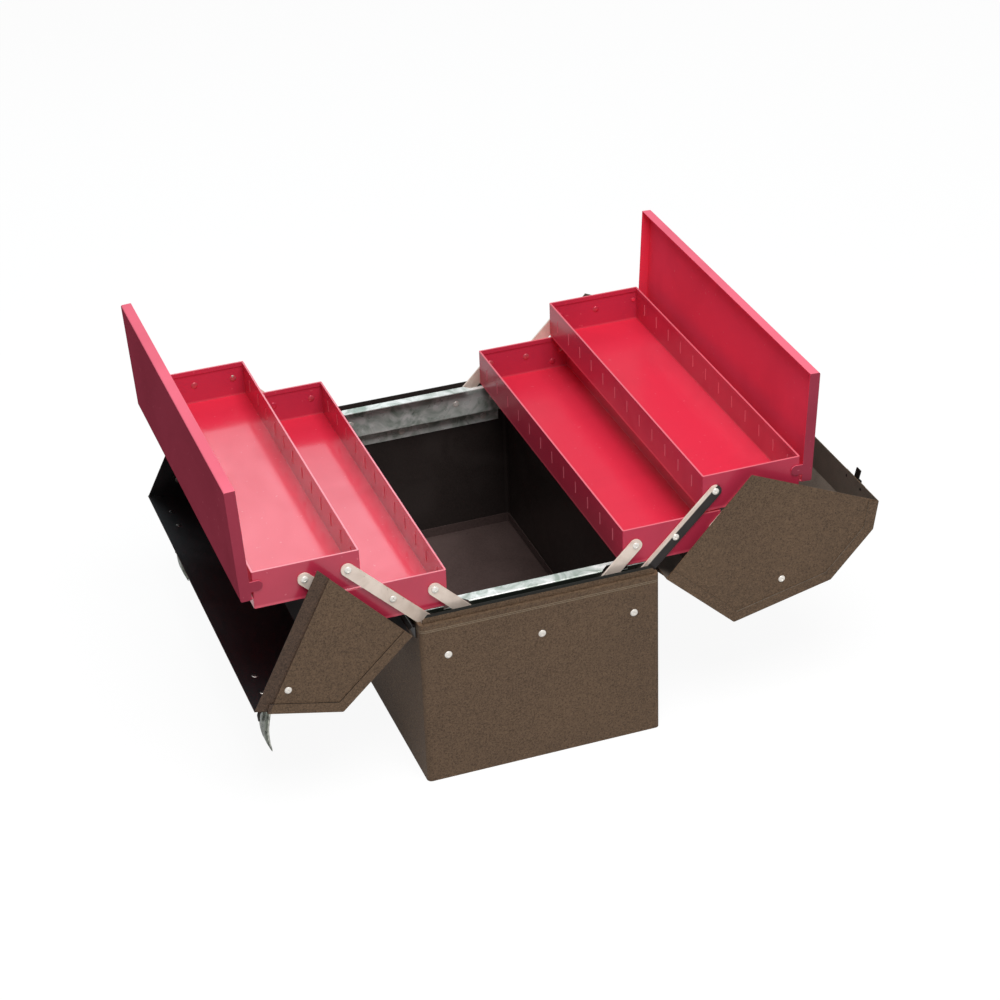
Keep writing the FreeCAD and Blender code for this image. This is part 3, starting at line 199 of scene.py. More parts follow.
# %% Shared effect: wrinkle grain
COARSE_SCALE, COARSE_SHARE, MOTTLE_SCALE = 150.0, 0.16, 13.0
HEIGHT_BAND, FLECK_BAND, MOTTLE_BAND = (0.36, 0.64), (0.4, 0.76), (0.3, 0.7)
WRINKLE, start, end = new_group(
    "wrinkle_grain", [POINT, ("Grain Scale", "NodeSocketFloat", 420.0)],
    ["Height", "Fleck", "Mottle"])
spot = start.outputs["Position"]
fine = noise(WRINKLE, (-600, 250), spot, start.outputs["Grain Scale"], detail=4, distortion=0.9)
coarse = noise(WRINKLE, (-600, 0), spot, COARSE_SCALE, detail=2, distortion=0.4)
both = math_node(WRINKLE, (-350, 150), "MULTIPLY_ADD", coarse, COARSE_SHARE, fine)
feed(WRINKLE, end.inputs["Height"], stretch(WRINKLE, (-100, 250), fine, *HEIGHT_BAND))
feed(WRINKLE, end.inputs["Fleck"], stretch(WRINKLE, (-100, 50), both, *FLECK_BAND))
slow = noise(WRINKLE, (-600, -250), spot, MOTTLE_SCALE, detail=4)
feed(WRINKLE, end.inputs["Mottle"], stretch(WRINKLE, (-100, -250), slow, *MOTTLE_BAND))
print("group", WRINKLE.name)

# %% [markdown]
# Every sheet carries a little dust and the dull marks of hands. The smudge group is a mask that
# roughens a finish here and there, so that no large sheet has one even gloss, and a few fine specks.

# %% Shared effect: smudges and dust
SPECK_SCALE = 190.0
SMUDGE_BAND, SPECK_BAND = (0.42, 0.72), (0.735, 0.775)
SMUDGE, start, end = new_group(
    "hand_smudges", [POINT, ("Size", "NodeSocketFloat", 9.0)], ["Smudge", "Specks"])
spot = start.outputs["Position"]
cloud = noise(SMUDGE, (-600, 200), spot, start.outputs["Size"], detail=6, distortion=1.4)
dots = noise(SMUDGE, (-600, -150), spot, SPECK_SCALE, detail=1)
feed(SMUDGE, end.inputs["Smudge"], stretch(SMUDGE, (-300, 200), cloud, *SMUDGE_BAND))
feed(SMUDGE, end.inputs["Specks"], stretch(SMUDGE, (-300, -150), dots, *SPECK_BAND))
print("group", SMUDGE.name)

# %% [markdown]
# A sheet is brown outside and darker inside, yet it is one solid 0.9 mm thick. A mask tells its two
# faces apart: a face is an outer one when it looks away from the middle of the box or lid that it
# belongs to. The dot product of that direction and the face's own is then above zero.

# %% Shared effect: outer and inner face of a sheet
OUTER, start, end = new_group(
    "outer_face", [POINT, FACING, ("Middle", "NodeSocketVector", (0, 0, 0))], ["Outside"])
away = add_node(OUTER, "ShaderNodeVectorMath", (-600, 100), operation="SUBTRACT")
feed(OUTER, away.inputs[0], start.outputs["Position"])
feed(OUTER, away.inputs[1], start.outputs["Middle"])
along = distance_along(OUTER, (-300, 0), away.outputs[0], start.outputs["Normal"])
outside = math_node(OUTER, (0, 0), "GREATER_THAN", along, 0.0)
feed(OUTER, end.inputs["Outside"], outside)


def facing_out(tree, at, place, middle):
    """1 on faces that look away from the middle, 0 on the others."""
    group = place_group(tree, OUTER, at, Position=place.outputs["Object"],
                        Normal=place.outputs["Normal"], Middle=middle)
    return group.outputs["Outside"]


print("group", OUTER.name)

# %% [markdown]
# The paint of the base and the lids. Outside, the wrinkle grain breaks the light into flecks. Inside,
# the same paint is smoother, and its darker colour there is a painted shade, deepest in the left lid;
# the lighter lining of the right lid is a painted reflection. Along the top of the sheet above the step
# of the base, where the lids close over it, a near black is a painted shade, and two light lines below
# it are the painted highlights of a bead.

# %% Painted sheet of the base and lids
OUTER_BROWN = (102, 81, 62)
FLECK_RANGE = (0.6, 1.45)
MOTTLE_RANGE = (0.93, 0.93, 0.94, 1), (1.06, 1.06, 1.05, 1)
# The inside of the base is the outer paint darkened: a painted shade, deepest on the walls.
FLOOR_BROWN = (84, 69, 66)
SHADED_BROWN = (48, 41, 39)
# A light brown for the painted highlight of two bead lines.
BEAD_HIGHLIGHT_BROWN = (178, 164, 138)
# Near black for the painted shade along the top of the rim.
RIM_SHADE_BLACK = (34, 34, 30)
SEAM_TINT = (0.66, 0.64, 0.72, 1)
# The left lid's near-black lining is a painted shade, the right lid's lighter one a painted reflection.
LID_LINING = {"right": (105, 96, 86), "left": (25, 24, 25)}
STEP_HEIGHT = 187 * MM
LINE_DROP, LINE_SPREAD, RIM_SHADE_RISE = 7.2 * MM, 0.9 * MM, 14.2 * MM
STRIP_WIDTH = 14.5 * MM
BASE_MIDDLE = (0, 0, 90 * MM)
LINE_FADE, LINE_SHARE = (0.5 * MM, 0.1 * MM), 0.5
WRINKLE_SCALE, SHEET_MARKS = 590.0, 11.0
LINING_RANGE, SMUDGED_LINING = (0.8, 1.2), 1.35
SMUDGE_DULLS, INNER_ROUGH, OUTER_ROUGH = 0.2, 0.42, 0.6
INNER_GRAIN = 0.25
GRAIN_BUMP = 0.6, 0.4 * MM


def painted_sheet(name, middle, lining, bead_height=-1.0, strip=None):
    """The paint of a sheet; with a bead height, it has two painted highlight lines there and a painted
    shade along the top.

    A strip is a point on a seam and the direction away from it: the paint beside the seam is darker.
    """
    material, tree, shader, place = new_material(name, Specular_IOR_Level=0.3)
    position = place.outputs["Object"]
    grain = place_group(tree, WRINKLE, (-800, 300), Position=position,
                        Grain_Scale=WRINKLE_SCALE)
    marks = place_group(tree, SMUDGE, (-800, 0), Position=position, Size=SHEET_MARKS)
    side = facing_out(tree, (-800, -300), place, middle)
    coat = mix_colours(tree, (-300, 400), grain.outputs["Fleck"],
                       colour(*OUTER_BROWN, FLECK_RANGE[0]), colour(*OUTER_BROWN, FLECK_RANGE[1]))
    tone = mix_colours(tree, (-60, 500), grain.outputs["Mottle"], *MOTTLE_RANGE)
    coat = mix_colours(tree, (160, 400), 1.0, coat, tone, "MULTIPLY")
    # The inner colour is the lining: a painted shade, or on the right lid a painted reflection.
    inner = mix_colours(tree, (-300, 150), grain.outputs["Fleck"],
                        colour(*lining, LINING_RANGE[0]), colour(*lining, LINING_RANGE[1]))
    inner = mix_colours(tree, (-60, 150), marks.outputs["Smudge"], inner,
                        colour(*lining, SMUDGED_LINING))
    if bead_height > 0:
        level = z_part(tree, (-800, 700), position)
        off = math_node(tree, (-600, 700), "SUBTRACT", level, bead_height)
        gap = math_node(tree, (-510, 760), "ABSOLUTE", off)
        line = math_node(tree, (-420, 700), "SUBTRACT", gap, LINE_SPREAD)
        line = math_node(tree, (-330, 760), "ABSOLUTE", line)
        # Two light lines on either side of the bead height: the painted highlight of a bead.
        painted_highlight = stretch(tree, (-240, 700), line, *LINE_FADE)
        painted_highlight = math_node(tree, (-60, 700), "MULTIPLY", painted_highlight, LINE_SHARE)
        coat = mix_colours(tree, (300, 500), painted_highlight, coat, colour(*BEAD_HIGHLIGHT_BROWN))
        # Above this height the sheet is painted near black: a painted shade.
        rim_shade = math_node(tree, (-60, 860), "GREATER_THAN", level, bead_height + RIM_SHADE_RISE)
        coat = mix_colours(tree, (480, 500), rim_shade, coat, colour(*RIM_SHADE_BLACK))
    if strip:
        across = distance_along(tree, (-600, 860), position, strip[1])
        beside = math_node(tree, (-420, 860), "LESS_THAN", across,
                           strip[0].dot(strip[1]) + STRIP_WIDTH)
        tint = mix_colours(tree, (-240, 860), beside, (1, 1, 1, 1), SEAM_TINT)
        coat = mix_colours(tree, (300, 500), 1.0, coat, tint, "MULTIPLY")
    feed(tree, shader.inputs["Base Color"], mix_colours(tree, (640, 300), side, inner, coat))
    dull = math_node(tree, (-60, -60), "MULTIPLY_ADD", marks.outputs["Smudge"], SMUDGE_DULLS,
                     INNER_ROUGH)
    rough = add_node(tree, "ShaderNodeMix", (200, -60))
    for index, content in ((0, side), (2, dull), (3, OUTER_ROUGH)):
        feed(tree, rough.inputs[index], content)
    feed(tree, shader.inputs["Roughness"], rough.outputs[0])
    strength = math_node(tree, (200, -260), "MULTIPLY_ADD", side, 1 - INNER_GRAIN, INNER_GRAIN)
    height = math_node(tree, (480, -260), "MULTIPLY", grain.outputs["Height"], strength)
    add_bump(tree, shader, height, *GRAIN_BUMP)
    return material


BASE_PAINT = painted_sheet("brown_wrinkle_base", BASE_MIDDLE, SHADED_BROWN, STEP_HEIGHT - LINE_DROP)
FLOOR_PAINT = painted_sheet("brown_wrinkle_floor", BASE_MIDDLE, FLOOR_BROWN)
print("paint", BASE_PAINT.name, FLOOR_PAINT.name)

# %% [markdown]
# The lids stand open, so the middle of each lid has to be turned with it: a point of the closed lid is
# swung 133 degrees about the hinge pin. The same helper will place the rivets of the latches. Where
# the left lid's end panels meet the other lid, a darker strip runs along the seam.

# %% Painted sheet of the lids
HALF_WIDTH = 127 * MM
HALF_LENGTH = 228.5 * MM
GAUGE = 0.9 * MM
HINGE_X, HINGE_Z = 129 * MM, 181.5 * MM
LID_SWING = math.radians(133)
LID_MIDDLE = (60 * MM, 262 * MM)
SLOPE = math.radians(34)
EAVES_Z = 290 * MM
SLOPE_END_X = 51.5 * MM
SLOPE_END_Z = EAVES_Z + (HALF_WIDTH - SLOPE_END_X) * math.tan(SLOPE)
TOP_HALF_WIDTH = 34.1 * MM
LID_TOP = EAVES_Z + (HALF_WIDTH - TOP_HALF_WIDTH) * math.tan(SLOPE)
SEAM_FOOT_X = -4 * MM


def swing_open(side, x, z, y=0.0):
    """Where a point of a closed lid stands once the lid is open; x counts toward the lid's side."""
    u, w = x - HINGE_X, z - HINGE_Z
    turned_x = HINGE_X + u * math.cos(LID_SWING) + w * math.sin(LID_SWING)
    turned_z = HINGE_Z - u * math.sin(LID_SWING) + w * math.cos(LID_SWING)
    return Vector((side * turned_x, y, turned_z))


SEAM_TOP = swing_open(-1, SLOPE_END_X, SLOPE_END_Z)
SEAM_FOOT = swing_open(-1, SEAM_FOOT_X, STEP_HEIGHT)
SEAM_SQUARE = Vector((0, 1, 0)).cross(SEAM_TOP - SEAM_FOOT).normalized()
LID_PAINT = {}
for side, name in SIDES:
    middle = swing_open(side, *LID_MIDDLE)
    if SEAM_SQUARE.dot(middle - SEAM_TOP) < 0:
        SEAM_SQUARE.negate()
    LID_PAINT[name] = painted_sheet("brown_wrinkle_lid_" + name, tuple(middle), LID_LINING[name],
                                    strip=(SEAM_TOP, SEAM_SQUARE) if name == "left" else None)
    print("middle of the", name, "lid", middle)

# %% [markdown]
# On the trays, a pale red is painted along the fold between wall and floor and along the folded top
# edge: painted highlights. Both follow a height above the ground: the tray's rim and the tray's floor.
# A third mask tells the upright walls from the floor, and the walls take a darker red: a painted shade.

# %% Shared effect: rim and fold of a tray
RIM_FADE = 0.5 * MM, 0.1 * MM
FOLD_FADE = 2.6 * MM, 0.6 * MM
TRAY_LINES, start, end = new_group(
    "tray_lines", [POINT, FACING, ("Rim Height", "NodeSocketFloat", 1.0),
                   ("Floor Height", "NodeSocketFloat", 0.0)], ["Rim", "Fold", "Wall"])
height = z_part(TRAY_LINES, (-650, 150), start.outputs["Position"])
turn = z_part(TRAY_LINES, (-650, -150), start.outputs["Normal"])
below_rim = math_node(TRAY_LINES, (-400, 300), "SUBTRACT", start.outputs["Rim Height"], height)
rim = stretch(TRAY_LINES, (-150, 300), below_rim, *RIM_FADE)
feed(TRAY_LINES, end.inputs["Rim"], rim)
above = math_node(TRAY_LINES, (-400, 50), "SUBTRACT", height, start.outputs["Floor Height"])
near = stretch(TRAY_LINES, (-150, 50), above, *FOLD_FADE)
level = math_node(TRAY_LINES, (-400, -150), "ABSOLUTE", turn)
wall = math_node(TRAY_LINES, (-150, -150), "LESS_THAN", level, 0.5)
feed(TRAY_LINES, end.inputs["Fold"], math_node(TRAY_LINES, (300, 0), "MULTIPLY", near, wall))
feed(TRAY_LINES, end.inputs["Wall"], wall)
print("group", TRAY_LINES.name)

# %% [markdown]
# The trays and their covers are sprayed with a crimson enamel. It is smooth with a faint orange peel.
# The left trays have kept their gloss and mirror the pale room as a pink sheen, the right ones are
# duller, and the covers have gone satin. Level faces, upright faces that look inward and those that
# look outward take reds of their own that stand for how the light falls: painted light and shade.

# %% Crimson enamel
CRIMSON = (230, 50, 76)
# The darker red of the upright walls is a painted shade.
SHADED_WALL_CRIMSON = (202, 54, 82)
# A pale red for dust specks and for the painted highlights of rims, folds and lips.
PALE_DUST_AND_HIGHLIGHT = (242, 138, 152)
# A pale red for the painted highlight along the fold.
FOLD_HIGHLIGHT = (236, 96, 116)
MARK_TINT = (0.9, 0.88, 0.88, 1)
TRAY_MARKS, PEEL_SCALE = 7.0, 380.0
SPECK_SHARE, FOLD_SHARE, RIM_SHARE = 0.25, 0.6, 0.6
COAT_SHARE, COAT_ROUGH, MARKS_DULL = 0.6, 0.14, 0.12
PEEL_BUMP = 0.08, 0.2 * MM
TRAY_GLOSS = {"left": (0.5, 0.17), "right": (0.25, 0.3)}
COVER_GLOSS = 0.0, 0.42
# On the covers, the pale red of level faces is a painted highlight and the dark red of outer faces a
# painted shade.
COVER_REDS = {"level_red": (240, 116, 136), "wall_red": (246, 68, 96), "outer_red": (165, 64, 82)}


def enamel(name, rim_height, floor_height, gloss, dullness, level_red=CRIMSON,
           wall_red=SHADED_WALL_CRIMSON, outer_red=SHADED_WALL_CRIMSON, middle=(0, 0, 0)):
    """A crimson enamel; gloss is the strength of its mirror image, dullness how far that blurs.

    The reds are those of level faces, of upright faces that look inward and of those that look outward.
    """
    material, tree, shader, place = new_material(
        name, Specular_IOR_Level=gloss, Coat_Weight=COAT_SHARE * gloss, Coat_Roughness=COAT_ROUGH)
    position = place.outputs["Object"]
    marks = place_group(tree, SMUDGE, (-800, 100), Position=position, Size=TRAY_MARKS)
    lines = place_group(tree, TRAY_LINES, (-800, -150), Position=position,
                        Normal=place.outputs["Normal"], Rim_Height=rim_height,
                        Floor_Height=floor_height)
    side = facing_out(tree, (-800, -500), place, middle)
    # Level, inward and outward faces take their own reds: painted light and shade.
    upright = mix_colours(tree, (-800, 420), side, colour(*wall_red), colour(*outer_red))
    coat = mix_colours(tree, (-620, 420), lines.outputs["Wall"], colour(*level_red), upright)
    tone = mix_colours(tree, (-400, 300), marks.outputs["Smudge"], coat, MARK_TINT, "MULTIPLY")
    speck = math_node(tree, (-400, 60), "MULTIPLY", marks.outputs["Specks"], SPECK_SHARE)
    tone = mix_colours(tree, (-150, 300), speck, tone, colour(*PALE_DUST_AND_HIGHLIGHT))
    # The pale lines at the fold and along the rim are painted highlights.
    fold = math_node(tree, (-150, 60), "MULTIPLY", lines.outputs["Fold"], FOLD_SHARE)
    tone = mix_colours(tree, (100, 300), fold, tone, colour(*FOLD_HIGHLIGHT))
    painted_highlight = math_node(tree, (100, 60), "MULTIPLY", lines.outputs["Rim"], RIM_SHARE)
    tone = mix_colours(tree, (350, 300), painted_highlight, tone, colour(*PALE_DUST_AND_HIGHLIGHT))
    feed(tree, shader.inputs["Base Color"], tone)
    blur = math_node(tree, (100, -100), "MULTIPLY_ADD", marks.outputs["Smudge"], MARKS_DULL, dullness)
    feed(tree, shader.inputs["Roughness"], blur)
    peel = noise(tree, (-400, -400), position, PEEL_SCALE, detail=2)
    add_bump(tree, shader, peel, *PEEL_BUMP)
    return material


RIM_TOP, LAYER_GAP = 197 * MM, 0.3 * MM
TRAY_HEIGHT, TRAY_WIDTH = 40.5 * MM, 107 * MM
ARM_PITCH = 61
ARM_STEP = ARM_PITCH * math.sin(math.radians(45)) * MM
TRAY_FOOT = {"lower": RIM_TOP + LAYER_GAP, "upper": RIM_TOP + LAYER_GAP + ARM_STEP}
CLOSED_NEAR = 6.5 * MM
TRAY_NEAR = {"lower": CLOSED_NEAR + 2 * ARM_STEP, "upper": CLOSED_NEAR + 4 * ARM_STEP}
ENAMEL = {"tray_%s_%s" % (level, side): enamel("crimson_enamel_%s_%s" % (level, side),
                                               foot + TRAY_HEIGHT, foot + GAUGE, *gloss)
          for level, foot in TRAY_FOOT.items() for side, gloss in TRAY_GLOSS.items()}


def tray_middle(side, level):
    return (side * (TRAY_NEAR[level] + TRAY_WIDTH / 2), 0, TRAY_FOOT[level] + TRAY_HEIGHT / 2)


# A rim far above a piece and a floor far below it leave both lines off.
# A rim at 0 paints the pale highlight over the whole piece.
FAR_ABOVE, FAR_BELOW = 1.0, -1.0
COVER_ENAMEL = {name: enamel("crimson_satin_cover_" + name, FAR_ABOVE, FAR_BELOW, *COVER_GLOSS,
                             **COVER_REDS, middle=tray_middle(side, "upper"))
                for side, name in SIDES}
# The lips are pale all over: a painted highlight.
HIGHLIT_LIP_ENAMEL = enamel("rubbed_enamel_lips", 0.0, FAR_BELOW, gloss=0.3, dullness=0.3)
print("tray feet", TRAY_FOOT)

# %% [markdown]
# The end channels are hot-dip galvanised. The zinc freezes in large crystals, the spangle, and each
# one turns the light its own way. Cells of a Voronoi texture give every crystal its own grey and
# gloss, and a warped noise stains them. The upright face that looks toward the end wall lies in the
# deep gap where the arms swing and is painted near black: a painted shade.

# %% Galvanised channels
SPANGLE_SCALE, WARP_SCALE, STAIN_SCALE = 130, 60.0, 34.0
CRYSTAL_TONES = colour(236, 239, 234), colour(255, 255, 252)
STAIN_TONE, STAIN_SHARE = colour(146, 163, 150), 0.85
GAP_SHADE_TONE = colour(40, 44, 39)
WARP_SHARE, STAIN_BAND = 0.01, (0.4, 0.66)
CRYSTAL_DULLS, CRYSTAL_ROUGH = 0.16, 0.26
CRYSTAL_BUMP = 0.15, 0.2 * MM
CHANNEL_MIDDLE = (0, 0, 150 * MM)
ZINC, tree, shader, place = new_material("spangled_zinc", Metallic=0.3)
position = place.outputs["Object"]
warp = noise(tree, (-1000, 300), position, WARP_SCALE, detail=2)
cells = add_node(tree, "ShaderNodeTexVoronoi", (-700, 300))
cells.inputs["Scale"].default_value = SPANGLE_SCALE
feed(tree, cells.inputs["Vector"],
     mix_colours(tree, (-880, 120), WARP_SHARE, position, warp, "ADD"))
split = add_node(tree, "ShaderNodeSeparateColor", (-480, 300))
feed(tree, split.inputs["Color"], cells.outputs["Color"])
cloud = noise(tree, (-700, -50), position, STAIN_SCALE, detail=6, distortion=1.8)
stain = stretch(tree, (-480, -50), cloud, *STAIN_BAND)
zinc = mix_colours(tree, (-200, 300), split.outputs["Red"], *CRYSTAL_TONES)
stain = math_node(tree, (-300, -50), "MULTIPLY", stain, STAIN_SHARE)
zinc = mix_colours(tree, (60, 300), stain, zinc, STAIN_TONE)
side = facing_out(tree, (-480, 700), place, CHANNEL_MIDDLE)
upright = place_group(tree, TRAY_LINES, (-480, 500), Position=position,
                      Normal=place.outputs["Normal"]).outputs["Wall"]
# Outward upright faces, deep in the gap, are painted near black: a painted shade.
hidden = math_node(tree, (-200, 600), "MULTIPLY", side, upright)
zinc = mix_colours(tree, (280, 300), hidden, zinc, GAP_SHADE_TONE)
feed(tree, shader.inputs["Base Color"], zinc)
gloss = math_node(tree, (-200, 0), "MULTIPLY_ADD", split.outputs["Green"], CRYSTAL_DULLS,
                  CRYSTAL_ROUGH)
feed(tree, shader.inputs["Roughness"], gloss)
add_bump(tree, shader, cells.outputs["Distance"], *CRYSTAL_BUMP)
print("zinc", ZINC.name)

# %% [markdown]
# Arms, rivets and latches are plated steel. The arms have a warm, milky nickel. Barrel plating leaves
# the small parts brighter, and the latches, which are handled most, are worn and tarnished nearly
# black in patches. Along one edge of the front arm on the right, a dark band is a painted shade, and
# the faces of the hasps that look out to the left are a painted shade of grey. Where the end of a rivet
# was sprayed together with a sheet, it has the sheet's colour.

# %% Plated steel
# Tone, edge and width of the painted shade along one edge of an arm.
SHADE_BAND_TONE, SHADE_BAND_EDGE, SHADE_BAND_WIDTH = colour(44, 38, 37), 0.8 * MM, 3.4 * MM
BRUSH_SCALE, BRUSH_BUMP = 800.0, (0.2, 0.1 * MM)


def plated(name, tint, tarnish, metal, rough, amount, patches, paint=None, middle=(0, 0, 0),
           shade_band=None):
    """Plating with tarnish in patches; with a paint, what looks toward the middle is painted over.

    The last argument is a direction and a distance: beyond that distance the plating is painted dark, a
    painted shade.
    """
    material, tree, shader, place = new_material(name, Metallic=metal)
    position = place.outputs["Object"]
    marks = place_group(tree, SMUDGE, (-800, 100), Position=position, Size=patches)
    patch = math_node(tree, (-500, 100), "MULTIPLY", marks.outputs["Smudge"], amount)
    tone = colour(*tint)
    if paint:
        side = facing_out(tree, (-700, 600), place, middle)
        tone = mix_colours(tree, (-450, 300), side, colour(*paint), tone)
    tone = mix_colours(tree, (-200, 300), patch, tone, colour(*tarnish))
    tone = mix_colours(tree, (60, 300), marks.outputs["Specks"], tone, colour(*tarnish))
    if shade_band:
        across = distance_along(tree, (-200, 800), position, shade_band[0])
        shaded = stretch(tree, (60, 800), across, shade_band[1], shade_band[1] + SHADE_BAND_EDGE)
        tone = mix_colours(tree, (320, 300), shaded, tone, SHADE_BAND_TONE)
    feed(tree, shader.inputs["Base Color"], tone)
    gloss = math_node(tree, (-200, 0), "MULTIPLY_ADD", marks.outputs["Smudge"], SMUDGE_DULLS, rough)
    feed(tree, shader.inputs["Roughness"], gloss)
    lines = noise(tree, (-400, -300), position, BRUSH_SCALE)
    add_bump(tree, shader, lines, *BRUSH_BUMP)
    return material


# Tint, tarnish, share of metal, roughness, amount of tarnish and how fine its patches are.
MILKY = (250, 232, 218), (190, 168, 150), 0.2, 0.36, 0.6, 26.0
BRIGHT = (255, 250, 242), (176, 162, 150), 0.25, 0.24, 0.35, 26.0
WORN = (232, 234, 222), (30, 29, 27), 0.6, 0.2, 1.0, 110.0
TARNISHED = (236, 238, 226), (26, 26, 24), 0.5, 0.2, 1.0, 130.0
BLACKENED = (62, 57, 54), (34, 31, 30), 0.7, 0.36, 0.8, 26.0
# The grey on the hasp faces that look out to the left is a painted shade.
HASP_SHADE_GREY = (138, 144, 132)
OUT_OF_HASP = (-2, 0, 80 * MM)
FOOT_X, FOOT_Z = 106 * MM, 176.2 * MM
ACROSS_ARM = Vector((1, 0, -1)).normalized()
ARM_LINE = Vector((FOOT_X, 0, FOOT_Z)).dot(ACROSS_ARM)
ARM_NICKEL = plated("milky_nickel_arms", *MILKY)
# Along one edge of the front right arm the plating is painted dark: a painted shade.
HALF_SHADED_NICKEL = plated("greasy_nickel_arm", *MILKY, shade_band=(ACROSS_ARM, ARM_LINE - SHADE_BAND_WIDTH))
RIVET_NICKEL = plated("bright_nickel_rivets", *BRIGHT)
LATCH_NICKEL = plated("worn_nickel_latches", *WORN)
HASP_NICKEL = plated("tarnished_nickel_hasps", *TARNISHED, paint=HASP_SHADE_GREY, middle=OUT_OF_HASP)
DARK_STEEL = plated("blackened_steel", *BLACKENED)
PAINTED_RIVET = {}
# Painted tails take their sheet's colour: the lid linings' painted shade or reflection, the walls'
# painted shade.
for side, name in SIDES:
    for level in TRAY_NEAR:
        PAINTED_RIVET[level + name] = plated("tray_rivets_%s_%s" % (level, name), *BRIGHT,
                                             paint=SHADED_WALL_CRIMSON, middle=tray_middle(side, level))
    PAINTED_RIVET["lid" + name] = plated("lid_rivets_" + name, *BRIGHT, paint=LID_LINING[name],
                                         middle=tuple(swing_open(side, *LID_MIDDLE)))
print("materials", [item.name for item in bpy.data.materials])

# %% [markdown]
# Each solid keeps its shape and only takes its new finish. The start of a node's name says which
# finish it needs.

# %% Give the solids their finishes
FINISHES = [("base_shell", BASE_PAINT), ("base_floor", FLOOR_PAINT),
            ("lid_shell_left", LID_PAINT["left"]), ("lid_shell_right", LID_PAINT["right"]),
            ("lid_end_left", LID_PAINT["left"]), ("lid_end_right", LID_PAINT["right"]),
            *ENAMEL.items(), ("cover_left", COVER_ENAMEL["left"]),
            ("cover_right", COVER_ENAMEL["right"]), ("end_channel", ZINC),
            ("long_arm_right_front", HALF_SHADED_NICKEL), ("long_arm", ARM_NICKEL),
            # The lid straps and the hinges sit in deep shade and take the blackened steel: a painted
            # shade.
            ("short_arm", ARM_NICKEL), ("upper_arm", ARM_NICKEL), ("lid_strap", DARK_STEEL),
            ("hinge_", DARK_STEEL), ("keeper", DARK_STEEL), ("base_", RIVET_NICKEL),
            ("lower_tray", RIVET_NICKEL), ("upper_tray", RIVET_NICKEL), ("strap_", RIVET_NICKEL),
            ("", LATCH_NICKEL)]
for name, solid in NODES.items():
    finish = next(material for start, material in FINISHES if name.startswith(start))
    solid.data.materials.clear()
    solid.data.materials.append(finish)
print("finished", len(NODES), "solids")

# %% [markdown]
# Modelling helpers. An operator works on all that is selected, so each piece starts from an empty
# selection, and faces or points are picked by their place.

# %% Modelling helpers


def clear_selection():
    if bpy.context.mode != "OBJECT":
        bpy.ops.object.mode_set(mode="OBJECT")
    bpy.ops.object.select_all(action="DESELECT")


def take(piece):
    clear_selection()
    piece.select_set(True)
    bpy.context.view_layer.objects.active = piece


def pick(piece, kind, test):
    """Select the faces or points of a piece that pass a test of their place; stays in edit mode."""
    take(piece)
    bpy.ops.object.mode_set(mode="EDIT")
    bpy.ops.mesh.select_mode(type=kind)
    bpy.ops.mesh.select_all(action="DESELECT")
    bpy.ops.object.mode_set(mode="OBJECT")
    places = piece.data.polygons if kind == "FACE" else piece.data.vertices
    for item in places:
        item.select = bool(test(item.center if kind == "FACE" else item.co))
    bpy.ops.object.mode_set(mode="EDIT")


def edit_all():
    bpy.ops.object.mode_set(mode="EDIT")
    bpy.ops.mesh.select_all(action="SELECT")


def leave_edit():
    bpy.ops.object.mode_set(mode="OBJECT")


def close_rod():
    """Weld the sections of a drawn rod, turn its faces outward and leave edit mode."""
    bpy.ops.mesh.select_all(action="SELECT")
    bpy.ops.mesh.remove_doubles(threshold=0.01 * MM)
    bpy.ops.mesh.normals_make_consistent(inside=False)
    leave_edit()


def join_pieces(pieces, name):
    clear_selection()
    for piece in pieces:
        piece.select_set(True)
    bpy.context.view_layer.objects.active = pieces[0]
    if len(pieces) > 1:
        bpy.ops.object.join()
    piece = bpy.context.object
    piece.name = name
    piece.data.name = name
    return piece


def smooth(piece, angle=35):
    take(piece)
    bpy.ops.object.shade_smooth_by_angle(angle=math.radians(angle))


def settle(piece, finish, body, nodes=()):
    """Give a finished piece its material, the body it moves with and the solids it stands for."""
    piece.data.materials.clear()
    piece.data.materials.append(finish)
    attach(piece, body)
    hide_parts(*nodes)


print("modelling helpers ready")

# %% [markdown]
# The rivets in the photograph have low domed heads with a small pit in the middle, where the rivet
# was drawn tight. A head is half of a flattened sphere: a sphere is cut in two, pressed flat, and its
# top faces are inset and pushed down. A shank and a rolled tail make it whole.

# %% One master rivet and its copies


def dome(radius, height, pit, rings=16, segments=28):
    """Half of a flattened sphere, closed below, with a pit of the given share of its radius."""
    clear_selection()
    bpy.ops.mesh.primitive_uv_sphere_add(segments=segments, ring_count=rings, radius=radius)
    piece = bpy.context.object
    edit_all()
    bpy.ops.mesh.bisect(plane_co=(0, 0, 0), plane_no=(0, 0, 1), use_fill=True, clear_inner=True)
    bpy.ops.mesh.select_all(action="SELECT")
    bpy.ops.transform.resize(value=(1, 1, height / radius), center_override=(0, 0, 0))
    leave_edit()
    if pit:
        pick(piece, "FACE", lambda at: at.z > 0.5 * height and math.hypot(at.x, at.y) < pit * radius)
        bpy.ops.mesh.inset(thickness=0.06 * radius)
        bpy.ops.transform.translate(value=(0, 0, -0.4 * height))
        leave_edit()
    return piece


def shaft(radius, low, high, segments=28):
    """A short round bar with eased ends."""
    clear_selection()
    bpy.ops.mesh.primitive_cylinder_add(vertices=segments, radius=radius, depth=high - low,
                                        location=(0, 0, (low + high) / 2))
    bpy.ops.object.transform_apply()
    edit_all()
    bpy.ops.mesh.bevel(offset=0.08 * radius, segments=2, affect="EDGES")
    leave_edit()
    return bpy.context.object


